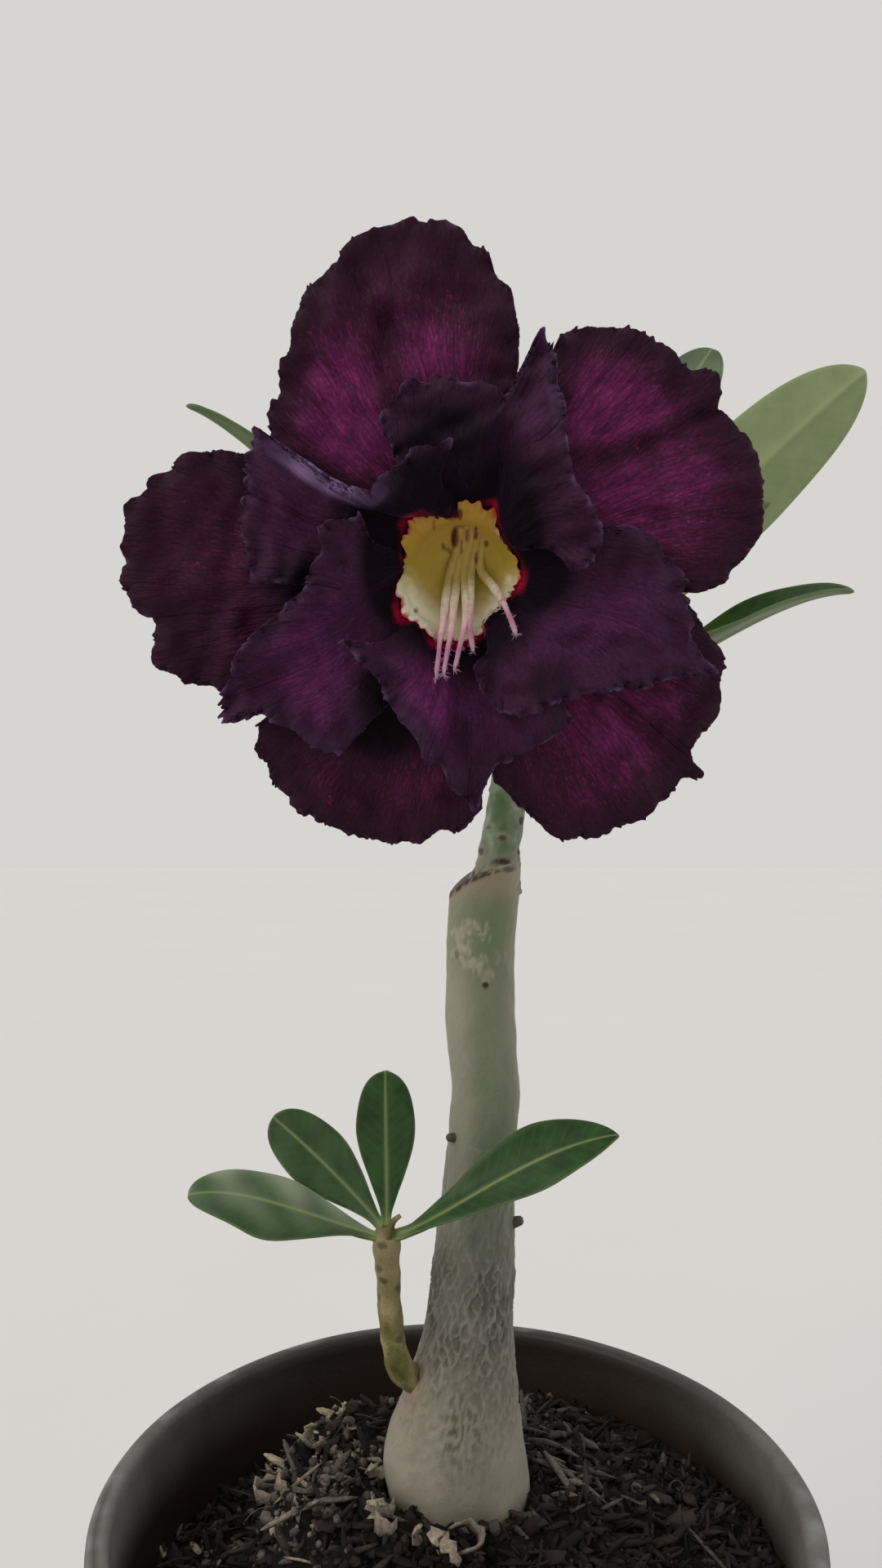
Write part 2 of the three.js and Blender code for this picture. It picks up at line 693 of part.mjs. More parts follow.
function tubeGeometry() {
  const depths = liningStations.slice(1).map(([depth]) => depth).reverse();
  const inner = (depth) => along(liningStations, depth) + liningWall + snugGap;
  const outside = depths.map((depth) => tubeRing(inner(depth) + tubeWall, depth));
  const inside = [...depths].reverse().map((depth) => tubeRing(inner(depth), depth));
  return loft([
    tubeRing(2.2, tubeLength),
    tubeRing(2.4, 38),
    ...outside,
    tubeRing(flangeRadius, 1.3),
    tubeRing(flangeRadius, 0.5),
    tubeRing(inner(0), 0.5),
    ...inside,
    tubeRing(3.6, liningEnd + 0.4),
  ]);
}

// The collar that the inner lobes stand on
function collarGeometry() {
  const corners = [[9, 0.55], [8.8, 1.5], [7.2, 1.5], [7.3, 0.55]];
  return loft(corners.map(([radius, height]) => tubeRing(radius, -height)), true);
}

function stamenGeometry() {
  const axis = (depth) => new THREE.Vector3(0, tubeRise(depth), -depth);
  const cone = stem(
    new THREE.CatmullRomCurve3([axis(29.6), axis(24), axis(18), axis(13)]),
    (t) => lerp(2.7, 0.9, t * t),
    5,
    10,
  );
  const ends = [[-3.4, -11.6], [-2.2, -12.6], [-1, -12.9], [0.4, -11.9], [1.4, -10.8], [6.6, -6.9]];
  const threads = ends.map(([x, y], i) => {
    const start = axis(14).add(new THREE.Vector3(0.25 * (i - 2.5), 0.1 * (i % 2), 0));
    const lift = axis(5).add(new THREE.Vector3(0.25 * x, -3.2, 1));
    const overRim = new THREE.Vector3(0.8 * x, 0.62 * y, 5.4);
    const curve = new THREE.CatmullRomCurve3([start, lift, overRim, new THREE.Vector3(x, y, 8.6)]);
    return stem(curve, (t) => lerp(0.55, 0.36, t), 5, 4);
  });
  return fused([cone, ...threads]);
}

const calyxFront = tubeLength - 3.6;
const calyxBack = tubeLength - 0.2;
const sepalLength = 9;
const sepalCount = 5;

function calyxGeometry() {
  const corners = [[3.1, calyxBack], [3.8, calyxFront], [2.75, calyxFront], [2.55, calyxBack]];
  const cup = loft(corners.map(([radius, depth]) => tubeRing(radius, depth)), true);
  const sepals = Array.from({ length: sepalCount }, (_, k) => {
    const angle = (2 * Math.PI * (k + 0.25)) / sepalCount;
    const outward = around(1, angle, 0);
    const sideways = around(1, angle + Math.PI / 2, 0);
    const grid = [0, 0.3, 0.65, 1].map((t) => {
      const depth = tubeLength - 1.6 - sepalLength * t;
      const half = lerp(1.9, 0.35, t ** 1.6);
      return [-1, 0, 1].map((v) => {
        const reach = lerp(3.25, 6.2, t ** 1.3) - 0.35 * v * v * (1 - t);
        const point = new THREE.Vector3(0, tubeRise(depth), -depth).addScaledVector(outward, reach);
        return point.addScaledVector(sideways, half * v);
      });
    });
    return blade(grid, petalThickness);
  });
  return fused([cup, ...sepals]);
}

// A point of the bloom's own frame in the plant's frame
function fromBloom(point) {
  return point.applyAxisAngle(east, Math.PI / 2 + bloomNod).add(vector(bloomCentre));
}

function stalkGeometry() {
  const end = fromBloom(new THREE.Vector3(0, tubeRise(tubeLength), -tubeLength - clearance));
  const behind = fromBloom(new THREE.Vector3(0.6, tubeRise(tubeLength) + 0.5, -tubeLength - 7));
  const start = scionTop.clone().addScaledVector(up, clearance);
  const upright = scionTop.clone().add(new THREE.Vector3(-0.2, 0, 4));
  const leaning = scionTop.clone().add(new THREE.Vector3(-3.5, -1, 10));
  const curve = new THREE.CatmullRomCurve3([start, upright, leaning, behind, end]);
  return stem(curve, (t) => 1.5 + 1.1 * THREE.MathUtils.smoothstep(t, 0.82, 1), 9, 10);
}

// ---------------------------------------------------------------- assembly

const potPlastic = finish('#2b2a2c', 0.6);
const pottingSoil = finish('#2a211d', 1);
const bark = finish('#8d8a7c', 0.85);
const greenBark = finish('#6f8460', 0.7);
const shootBark = finish('#727a3a', 0.6);
const leafGreen = finish('#2c5226', 0.45);
const paleLeafGreen = finish('#6f8450', 0.55);
const outerPurple = finish('#4a1540', 0.6);
const innerPurple = finish('#2c1530', 0.65);
const throatYellow = finish('#b3a13a', 0.5);
const threadPink = finish('#d7b9b8', 0.6);
const calyxGreen = finish('#5f7a45', 0.6);

const plant = new THREE.Group();
addPiece(plant, 'pot', potGeometry(), potPlastic);
addPiece(plant, 'soil', soilGeometry(), pottingSoil);

const nubs = [
  nub(-1.6, 5, 170, [-1, -0.25, 0.1], 0.9),
  nub(10.2, 4.6, 154.4, [1, -0.15, 0.25], 0.8),
  nub(11.4, 7, 181, [1, 0.2, 0.3], 0.7),
];
addPiece(plant, 'rootstock', fused([rootstockGeometry(), ...nubs]), bark);
addPiece(plant, 'scion_stem', scionGeometry(), greenBark);
addPiece(plant, 'side_shoot', shootGeometry(), shootBark);
for (const [name, leaf] of Object.entries(shootLeaves)) {
  addPiece(plant, name, cut(leafGeometry(leaf), shootGeometry(clearance)), leafGreen);
}
for (const [name, leaf] of Object.entries(scionLeaves)) {
  const material = name === 'scion_leaf_large' ? paleLeafGreen : leafGreen;
  addPiece(plant, name, cut(leafGeometry(leaf), scionGeometry(clearance)), material);
}
addPiece(plant, 'flower_stalk', stalkGeometry(), calyxGreen);

const bloom = new THREE.Group();
bloom.position.set(...bloomCentre);
bloom.rotation.x = Math.PI / 2 + bloomNod;
const outerWhorl = outerLobes.map((lobe) => lobeGeometry(lobe, 8.9, -0.9));
const innerWhorl = innerLobes.map((lobe) => lobeGeometry(lobe, 8, 1.05));
addPiece(bloom, 'corolla_outer', fused([tubeGeometry(), ...outerWhorl]), outerPurple);
addPiece(bloom, 'corolla_inner', fused([collarGeometry(), ...innerWhorl]), innerPurple);
addPiece(bloom, 'throat_lining', liningGeometry(), throatYellow);
addPiece(bloom, 'stamens', stamenGeometry(), threadPink);
addPiece(bloom, 'calyx', calyxGeometry(), calyxGreen);
plant.add(bloom);

export default plant;
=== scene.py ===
import math

import bpy
import numpy as np
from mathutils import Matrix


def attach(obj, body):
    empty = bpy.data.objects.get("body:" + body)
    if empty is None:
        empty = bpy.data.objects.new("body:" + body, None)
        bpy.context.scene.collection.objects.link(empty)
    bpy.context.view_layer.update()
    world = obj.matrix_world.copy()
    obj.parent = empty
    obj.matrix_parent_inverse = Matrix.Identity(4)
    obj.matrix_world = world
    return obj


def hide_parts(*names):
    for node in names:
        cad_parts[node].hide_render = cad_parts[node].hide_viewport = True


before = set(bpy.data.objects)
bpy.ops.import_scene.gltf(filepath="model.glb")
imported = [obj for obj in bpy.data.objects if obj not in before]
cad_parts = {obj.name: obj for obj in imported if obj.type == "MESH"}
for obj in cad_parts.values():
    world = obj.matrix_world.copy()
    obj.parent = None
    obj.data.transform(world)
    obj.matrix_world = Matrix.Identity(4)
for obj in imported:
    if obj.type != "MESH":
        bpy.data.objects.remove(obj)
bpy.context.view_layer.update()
print("frame loaded")

metresPerMm = 0.001  # sizes below are in millimetres, in the frame's axes
fullTurn = 2 * math.pi


def ease(x, low, high):
    # 0 below low, 1 above high, and a smooth S between
    t = np.clip((np.asarray(x, float) - low) / (high - low), 0, 1)
    return t * t * (3 - 2 * t)


def mixed(a, b, share):
    return a + (b - a) * share


def bump(x, middle, width):
    # a bell, 1 at the middle and 0.37 at width away
    return np.exp(-((np.asarray(x, float) - middle) / width) ** 2)


def unit(v):
    return v / np.maximum(np.linalg.norm(v, axis=-1, keepdims=True), 1e-9)


def roughness(points, size, seed):
    # uneven lumps about size apart, mostly between -1 and 1: sine waves in random directions, added up
    waves = 10
    rng = np.random.default_rng(seed)
    points = np.asarray(points, float)
    ways = unit(rng.normal(size=(waves, points.shape[-1]))) * rng.uniform(0.6, 1.5, (waves, 1))
    phases = rng.uniform(0, fullTurn, waves)
    return np.sin(points @ ways.T * (fullTurn / size) + phases).sum(-1) / math.sqrt(waves)


def anglesRound(count):
    return np.linspace(0, fullTurn, count, endpoint=False)


def wrapped(angle, turn=fullTurn):
    # the same angle between half a turn back and half a turn on
    return (angle + turn / 2) % turn - turn / 2


def pointsRound(angle, radius, height):
    x, y, z = np.broadcast_arrays(radius * np.cos(angle), radius * np.sin(angle), height)
    return np.stack([x, y, z], -1).astype(float)


def smoothPath(knots):
    # the cubic through all knots whose slope at each is half the chord between its neighbours
    steps = 40
    p = np.asarray(knots, float)
    p = np.vstack([2 * p[0] - p[1], p, 2 * p[-1] - p[-2]])
    a, b, c, d = (p[i:len(p) - 3 + i, None] for i in range(4))
    t = np.linspace(0, 1, steps, endpoint=False)[None, :, None]
    curve = b + 0.5 * t * (c - a + t * (2 * a - 5 * b + 4 * c - d + t * (3 * (b - c) + d - a)))
    return np.vstack([curve.reshape(-1, p.shape[1]), p[-2]])


def bezierPath(start, bend, end):
    # cubic Bezier from start to end, pulled by two bend points
    steps = 240
    t = np.linspace(0, 1, steps)[:, None]
    a, b, c, d = (np.asarray(v, float) for v in (start, *bend, end))
    return a * (1 - t) ** 3 + 3 * b * t * (1 - t) ** 2 + 3 * c * t * t * (1 - t) + d * t ** 3


def runAlong(path):
    # how far each point of a path lies from its start, along the path
    return np.concatenate([[0], np.cumsum(np.linalg.norm(np.diff(path, axis=0), axis=1))])


def atShare(path, share):
    # points at shares of a path's length
    run = runAlong(path)
    at = np.asarray(share) * run[-1]
    return np.stack([np.interp(at, run, path[:, k]) for k in range(path.shape[1])], -1)


def spotMask(x, y, spots, inner=0.6, outer=1.15):
    # oval marks given as middle x and y, half width, half height and strength, which fade out between two
    # shares of their size
    masks = [s * (1 - ease(np.hypot((x - a) / w, (y - b) / h), inner, outer)) for a, b, w, h, s in spots]
    return np.max(masks, axis=0)


def gridQuads(rows, columns, around=False):
    # the quads of a grid of points; around joins its last column to its first
    i, j = np.meshgrid(np.arange(rows - 1), np.arange(columns if around else columns - 1), indexing="ij")
    a, b = i * columns + j, i * columns + (j + 1) % columns
    return np.stack([a, b, b + columns, a + columns], -1).reshape(-1, 4)


def tubeShape(rings, values=None):
    # a closed skin through rings[row, side, xyz], both ends closed to their middles
    rows, sides = rings.shape[:2]
    points = np.vstack([rings.reshape(-1, 3), rings[0].mean(0), rings[-1].mean(0)])
    j, after = np.arange(sides), (np.arange(sides) + 1) % sides
    last = (rows - 1) * sides
    caps = np.vstack([
        np.stack([np.full(sides, rows * sides), after, j], -1),
        np.stack([np.full(sides, rows * sides + 1), last + j, last + after], -1),
    ])
    kept = {k: np.append(v.ravel(), [v[0].mean(), v[-1].mean()]) for k, v in (values or {}).items()}
    return {"points": points, "quads": gridQuads(rows, sides, True), "tris": caps, "values": kept}


def bladeShape(grid, thickness, values=None, ribDepth=0, uv=None):
    # a closed thin blade: the grid moved half the thickness both ways along its normal, and a strip round its
    # edge; ribDepth thickens its underside
    rows, columns = grid.shape[:2]
    normal = unit(np.cross(np.gradient(grid, axis=0), np.gradient(grid, axis=1)))
    half = np.broadcast_to(np.asarray(thickness) / 2, (rows, columns))[..., None]
    rib = np.broadcast_to(ribDepth, (rows, columns))[..., None]
    above, below = grid + normal * half, grid - normal * (half + rib)
    points = np.vstack([above.reshape(-1, 3), below.reshape(-1, 3)])
    upper = gridQuads(rows, columns)
    under = rows * columns
    edge = np.concatenate([
        np.arange(rows - 1) * columns,
        (rows - 1) * columns + np.arange(columns - 1),
        np.arange(rows - 1, 0, -1) * columns + columns - 1,
        np.arange(columns - 1, 0, -1),
    ])
    following = np.roll(edge, -1)
    strip = np.stack([under + edge, under + following, following, edge], -1)
    quads = np.vstack([upper[:, ::-1], under + upper, strip])
    kept = {k: np.tile(np.broadcast_to(v, (rows, columns)).ravel(), 2) for k, v in (values or {}).items()}
    kept["upper"] = np.repeat([1.0, 0.0], under)
    shape = {"points": points, "quads": quads, "tris": np.empty((0, 3), int), "values": kept}
    if uv is not None:
        shape["uv"] = np.tile(uv.reshape(-1, 2), (2, 1))
    return shape


def joined(shapes):
    # several shapes as one, with the values that all of them have
    starts = np.cumsum([0] + [len(s["points"]) for s in shapes[:-1]])
    names = set.intersection(*(set(s["values"]) for s in shapes))
    whole = {
        "points": np.vstack([s["points"] for s in shapes]),
        "quads": np.vstack([s["quads"] + n for s, n in zip(shapes, starts)]),
        "tris": np.vstack([s["tris"] + n for s, n in zip(shapes, starts)]),
        "values": {k: np.concatenate([s["values"][k] for s in shapes]) for k in names},
    }
    if all("uv" in s for s in shapes):
        whole["uv"] = np.vstack([s["uv"] for s in shapes])
    return whole


def turnsOf(yaw, pitch, roll):
    # rotation matrices: roll about X, then pitch about Y, then yaw about Z
    cy, sy, cp, sp, cr, sr = (f(a) for a in (yaw, pitch, roll) for f in (np.cos, np.sin))
    return np.stack([
        np.stack([cy * cp, cy * sp * sr - sy * cr, cy * sp * cr + sy * sr], -1),
        np.stack([sy * cp, sy * sp * sr + cy * cr, sy * sp * cr - cy * sr], -1),
        np.stack([-sp, cp * sr, cp * cr], -1),
    ], -2)


def scattered(template, places, sizes, turns, values):
    # copies of a small shape, each stretched by its sizes, turned and put in its place
    count, corners = len(places), len(template["points"])
    points = np.einsum("nij,nkj->nki", turns, template["points"][None] * sizes[:, None]) + places[:, None]
    step = (np.arange(count) * corners)[:, None, None]
    return {
        "points": points.reshape(-1, 3),
        "quads": (template["quads"][None] + step).reshape(-1, 4),
        "tris": (template["tris"][None] + step).reshape(-1, 3),
        "values": {k: np.repeat(v, corners) for k, v in values.items()},
    }


def makePiece(name, shape, material, nodes):
    # a mesh from points, quads and triangles, its values as point attributes, told to the frame
    mesh = bpy.data.meshes.new(name)
    quads, tris = shape["quads"], shape["tris"]
    corners = np.concatenate([quads.ravel(), tris.ravel()]).astype(np.int32)
    starts = np.concatenate([np.arange(len(quads)) * 4, 4 * len(quads) + np.arange(len(tris)) * 3])
    mesh.vertices.add(len(shape["points"]))
    mesh.vertices.foreach_set("co", (shape["points"] * metresPerMm).astype(np.float32).ravel())
    mesh.loops.add(len(corners))
    mesh.loops.foreach_set("vertex_index", corners)
    mesh.polygons.add(len(starts))
    mesh.polygons.foreach_set("loop_start", starts.astype(np.int32))
    mesh.update(calc_edges=True)
    for key, value in shape["values"].items():
        mesh.attributes.new(key, "FLOAT", "POINT").data.foreach_set("value", value.astype(np.float32))
    if "uv" in shape:
        flat = shape["uv"][corners].astype(np.float32)
        mesh.uv_layers.new(name="UVMap").data.foreach_set("uv", flat.ravel())
    mesh.polygons.foreach_set("use_smooth", np.ones(len(starts), bool))
    mesh.materials.append(material)
    piece = bpy.data.objects.new(name, mesh)
    bpy.context.scene.collection.objects.link(piece)
    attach(piece, "root")
    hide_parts(*nodes)
    return piece


def linear(hexColour):
    # an sRGB hex colour as the shader's linear red, green, blue and alpha
    parts = [int(hexColour[i:i + 2], 16) / 255 for i in (1, 3, 5)]
    return [c / 12.92 if c <= 0.04045 else ((c + 0.055) / 1.055) ** 2.4 for c in parts] + [1.0]


def addNode(tree, kind, inputs=None, out=0, stops=(), **settings):
    # adds a node; its inputs are numbers, hex colours or other nodes' outputs, and one output comes back.
    # MapRange takes input 0 from the range 1 to 2 into the range 3 to 4; Mix goes from colour 6 to 7 by its 0
    node = tree.nodes.new("ShaderNode" + kind)
    for key, value in settings.items():
        setattr(node, key, value)
    for key, value in (inputs or {}).items():
        if isinstance(value, bpy.types.NodeSocket):
            tree.links.new(value, node.inputs[key])
        else:
            node.inputs[key].default_value = linear(value) if isinstance(value, str) else value
    for place, (position, colour) in enumerate(stops):
        ramp = node.color_ramp.elements
        if place == 0:
            ramp.remove(ramp[1])
            ramp[0].position = position
        stop = ramp.new(position) if place else ramp[0]
        stop.color = linear(colour)
    return node.outputs[out] if node.outputs else None


def newMaterial(name):
    # an empty material, its node tree and the spot on the piece in metres, in which a scale of 1000 is 1 mm
    material = bpy.data.materials.new(name)
    material.use_nodes = True
    tree = material.node_tree
    tree.nodes.clear()
    return material, tree, addNode(tree, "TexCoord", None, "Object")


# Pot: injection-moulded polypropylene, matt charcoal with a grain of 0.9 mm; dried dust in clouds of 17 mm
# and water marks lighten its lip, damp soil has browned the inside, the dust mask also lightens the inner
# wall high on its front sides, and the lip's left has a worn groove
def dustyPolypropylene():
    material, tree, spot = newMaterial("dustyPolypropylene")
    cloud = addNode(tree, "TexNoise", {"Vector": spot, "Scale": 60, "Detail": 5, "Roughness": 0.6})
    fine = addNode(tree, "TexNoise", {"Vector": spot, "Scale": 1100, "Detail": 3})
    dust, stain, scratch, lime = (
        addNode(tree, "Attribute", None, "Fac", attribute_name=key)
        for key in ("dust", "stain", "scratch", "lime"))
    uneven = addNode(tree, "MapRange", {0: cloud, 1: 0.3, 2: 0.7, 3: 0.6, 4: 1.2})
    patchy = addNode(tree, "Math", {0: dust, 1: uneven}, operation="MULTIPLY")
    colour, soil, film = (
        addNode(tree, "Mix", {0: noise, 6: dark, 7: light}, 2, data_type="RGBA")
        for noise, dark, light in (
            (fine, "#1a1919", "#242322"), (cloud, "#0d0a08", "#2b1f16"), (fine, "#5f5d5a", "#716f6c")))
    for mask, layer in ((stain, soil), (patchy, film), (lime, "#8e9496"), (scratch, "#1c1d1f")):
        colour = addNode(tree, "Mix", {0: mask, 6: colour, 7: layer}, 2, data_type="RGBA")
    rough = addNode(tree, "MapRange", {0: patchy, 3: 0.45, 4: 0.85})
    pitted = addNode(tree, "Bump", {"Height": fine, "Strength": 0.25, "Distance": 0.0002})
    shader = addNode(tree, "BsdfPrincipled", {
        "Base Color": colour, "Roughness": rough, "Normal": pitted, "IOR": 1.49, "Specular IOR Level": 0.3})
    addNode(tree, "OutputMaterial", {"Surface": shader})
    return material


# Potting mix: damp coir dust between the chips, close to black and quite rough, in lumps of 4 mm and 0.7 mm
def dampPottingMix():
    material, tree, spot = newMaterial("dampPottingMix")
    coarse = addNode(tree, "TexNoise", {"Vector": spot, "Scale": 260, "Detail": 6})
    fine = addNode(tree, "TexNoise", {"Vector": spot, "Scale": 1500, "Detail": 4})
    colour = addNode(tree, "ValToRGB", {"Fac": fine}, stops=[
        (0.3, "#050404"), (0.52, "#0c0a09"), (0.68, "#191512"), (0.8, "#2e2721")])
    crumbs = addNode(tree, "Bump", {"Height": fine, "Strength": 0.7, "Distance": 0.0004})
    lumps = addNode(tree, "Bump", {"Height": coarse, "Strength": 0.8, "Distance": 0.0012, "Normal": crumbs})
    shader = addNode(tree, "BsdfPrincipled", {
        "Base Color": colour, "Roughness": 0.92, "Normal": lumps, "Specular IOR Level": 0.2})
    addNode(tree, "OutputMaterial", {"Surface": shader})
    return material


# Chips: splintered bark and coconut husk with a grain of 0.7 mm; tint runs from wet black through red-brown
# and grey to dry cream, and painted shade lowers it on the right and front
def splinteredHusk():
    material, tree, spot = newMaterial("splinteredHusk")
    grain = addNode(tree, "TexNoise", {"Vector": spot, "Scale": 1400, "Detail": 4})
    tint = addNode(tree, "Attribute", None, "Fac", attribute_name="tint")
    raisedLeft = addNode(tree, "ValToRGB", {"Fac": tint}, stops=[
        (0.0, "#080606"), (0.3, "#16100e"), (0.5, "#2b201c"), (0.66, "#3f3833"), (0.8, "#5f5954"),
        (0.91, "#857b70"), (1.0, "#b1a48a")])
    shown = addNode(tree, "MapRange", {0: grain, 1: 0.35, 2: 0.7, 3: 0.45, 4: 1.0})
    worn = addNode(tree, "Mix", {0: shown, 6: "#0e0b09", 7: raisedLeft}, 2, data_type="RGBA")
    fibres = addNode(tree, "Bump", {"Height": grain, "Strength": 0.5, "Distance": 0.0003})
    shader = addNode(tree, "BsdfPrincipled", {
        "Base Color": worn, "Roughness": 0.85, "Normal": fibres, "Specular IOR Level": 0.25})
    addNode(tree, "OutputMaterial", {"Surface": shader})
    return material


# Rootstock: thin corky skin, beige-grey at the swollen base, a net of pale ridges over green hollows above
# it, the hollows darkened further as painted shade, and smooth grey-green further up, mottled every 9 mm
# and speckled every 0.7 mm, with pinkish callus, crusty pale patches, painted light on the left side and
# at the base's sides, and brown scabs where the piece's values say so
def nettedBark():
    material, tree, spot = newMaterial("nettedBark")
    tall = addNode(tree, "Mapping", {"Vector": spot, "Scale": (1, 1, 0.4)})
    cloud = addNode(tree, "TexNoise", {"Vector": tall, "Scale": 110, "Detail": 6, "Roughness": 0.6})
    speck = addNode(tree, "TexNoise", {"Vector": spot, "Scale": 1500, "Detail": 4, "Roughness": 0.6})
    height, recess, callus, patch, scab, moss, green = (
        addNode(tree, "Attribute", None, "Fac", attribute_name=key)
        for key in ("height", "recess", "callus", "patch", "scab", "moss", "green"))
    colour, sunkenShade = (addNode(tree, "ValToRGB", {"Fac": height}, stops=stops) for stops in (
        [(0.0, "#726a5e"), (0.08, "#7f776c"), (0.18, "#7e776c"), (0.3, "#75726a"), (0.42, "#6f7065"),
         (0.52, "#666b5b"), (0.75, "#6e7361"), (1.0, "#7a7c66")],
        [(0.1, "#676156"), (0.16, "#54523f"), (0.24, "#4b4b3f"), (0.34, "#3b4035"), (0.5, "#3c4337")]))
    mottles = addNode(tree, "MapRange", {0: cloud, 1: 0.42, 2: 0.68, 3: 0.0, 4: 0.45})
    dots = addNode(tree, "MapRange", {0: speck, 1: 0.56, 2: 0.74, 3: 0.0, 4: 0.4})
    # the net's hollows take a darker green, partly their own colour and partly painted shade
    hollow = addNode(tree, "Math", {0: recess, 1: 0.95}, operation="MULTIPLY")
    # the pale crust layer also carries painted light on the left side and at the base's sides
    for mask, layer in (
        (mottles, "#85806f"), (dots, "#4b493d"), (green, "#566647"), (hollow, sunkenShade), (callus, "#8f7c69"),
        (patch, "#a09a8a"), (scab, "#2b1d16"), (moss, "#5d5a38"),
    ):
        colour = addNode(tree, "Mix", {0: mask, 6: colour, 7: layer}, 2, data_type="RGBA")
    waves = addNode(tree, "Bump", {"Height": cloud, "Strength": 0.25, "Distance": 0.0008})
    grain = addNode(tree, "Bump", {"Height": speck, "Strength": 0.3, "Distance": 0.0003, "Normal": waves})
    shader = addNode(tree, "BsdfPrincipled", {
        "Base Color": colour, "Roughness": 0.6, "Normal": grain, "IOR": 1.45, "Specular IOR Level": 0.35,
        "Sheen Weight": 0.12, "Sheen Roughness": 0.5, "Sheen Tint": "#e6e2da"})
    addNode(tree, "OutputMaterial", {"Surface": shader})
    return material


# Scion: young green skin with a grey waxy bloom in clouds of 4 mm and brown half-moon scars of fallen leaves
def youngGreenBark():
    material, tree, spot = newMaterial("youngGreenBark")
    tall = addNode(tree, "Mapping", {"Vector": spot, "Scale": (1, 1, 0.6)})
    cloud = addNode(tree, "TexNoise", {"Vector": tall, "Scale": 240, "Detail": 5})
    speck = addNode(tree, "TexNoise", {"Vector": spot, "Scale": 1800, "Detail": 3})
    scab, corky = (addNode(tree, "Attribute", None, "Fac", attribute_name=key) for key in ("scab", "corky"))
    colour = addNode(tree, "ValToRGB", {"Fac": cloud}, stops=[
        (0.3, "#3c5030"), (0.46, "#506246"), (0.58, "#6b765f"), (0.7, "#8b8d7b")])
    dots = addNode(tree, "MapRange", {0: speck, 1: 0.58, 2: 0.75, 3: 0.0, 4: 0.4})
    for mask, layer in ((dots, "#3f4736"), (corky, "#7f7b6b"), (scab, "#33251c")):
        colour = addNode(tree, "Mix", {0: mask, 6: colour, 7: layer}, 2, data_type="RGBA")
    waves = addNode(tree, "Bump", {"Height": cloud, "Strength": 0.3, "Distance": 0.0005})
    grain = addNode(tree, "Bump", {"Height": speck, "Strength": 0.3, "Distance": 0.0003, "Normal": waves})
    shader = addNode(tree, "BsdfPrincipled", {
        "Base Color": colour, "Roughness": 0.55, "Normal": grain, "IOR": 1.45, "Specular IOR Level": 0.35})
    addNode(tree, "OutputMaterial", {"Surface": shader})
    return material


# Side shoot: this year's stem, olive turning straw yellow in clouds of 3 mm, rough with brown scars
def oliveShootBark():
    material, tree, spot = newMaterial("oliveShootBark")
    tall = addNode(tree, "Mapping", {"Vector": spot, "Scale": (1, 1, 0.6)})
    cloud = addNode(tree, "TexNoise", {"Vector": tall, "Scale": 330, "Detail": 5})
    speck = addNode(tree, "TexNoise", {"Vector": spot, "Scale": 2200, "Detail": 3})
    height, scab = (
        addNode(tree, "Attribute", None, "Fac", attribute_name=key) for key in ("height", "scab"))
    colour = addNode(tree, "ValToRGB", {"Fac": cloud}, stops=[
        (0.3, "#575a2b"), (0.5, "#726d42"), (0.68, "#988e68")])
    dots = addNode(tree, "MapRange", {0: speck, 1: 0.56, 2: 0.74, 3: 0.0, 4: 0.5})
    for mask, layer in ((height, "#857a58"), (scab, "#3d2a1b"), (dots, "#38351c")):
        colour = addNode(tree, "Mix", {0: mask, 6: colour, 7: layer}, 2, data_type="RGBA")
    waves = addNode(tree, "Bump", {"Height": cloud, "Strength": 0.35, "Distance": 0.0006})
    grain = addNode(tree, "Bump", {"Height": speck, "Strength": 0.35, "Distance": 0.0003, "Normal": waves})
    shader = addNode(tree, "BsdfPrincipled", {
        "Base Color": colour, "Roughness": 0.5, "Normal": grain, "IOR": 1.45, "Specular IOR Level": 0.35})
    addNode(tree, "OutputMaterial", {"Surface": shader})
    return material
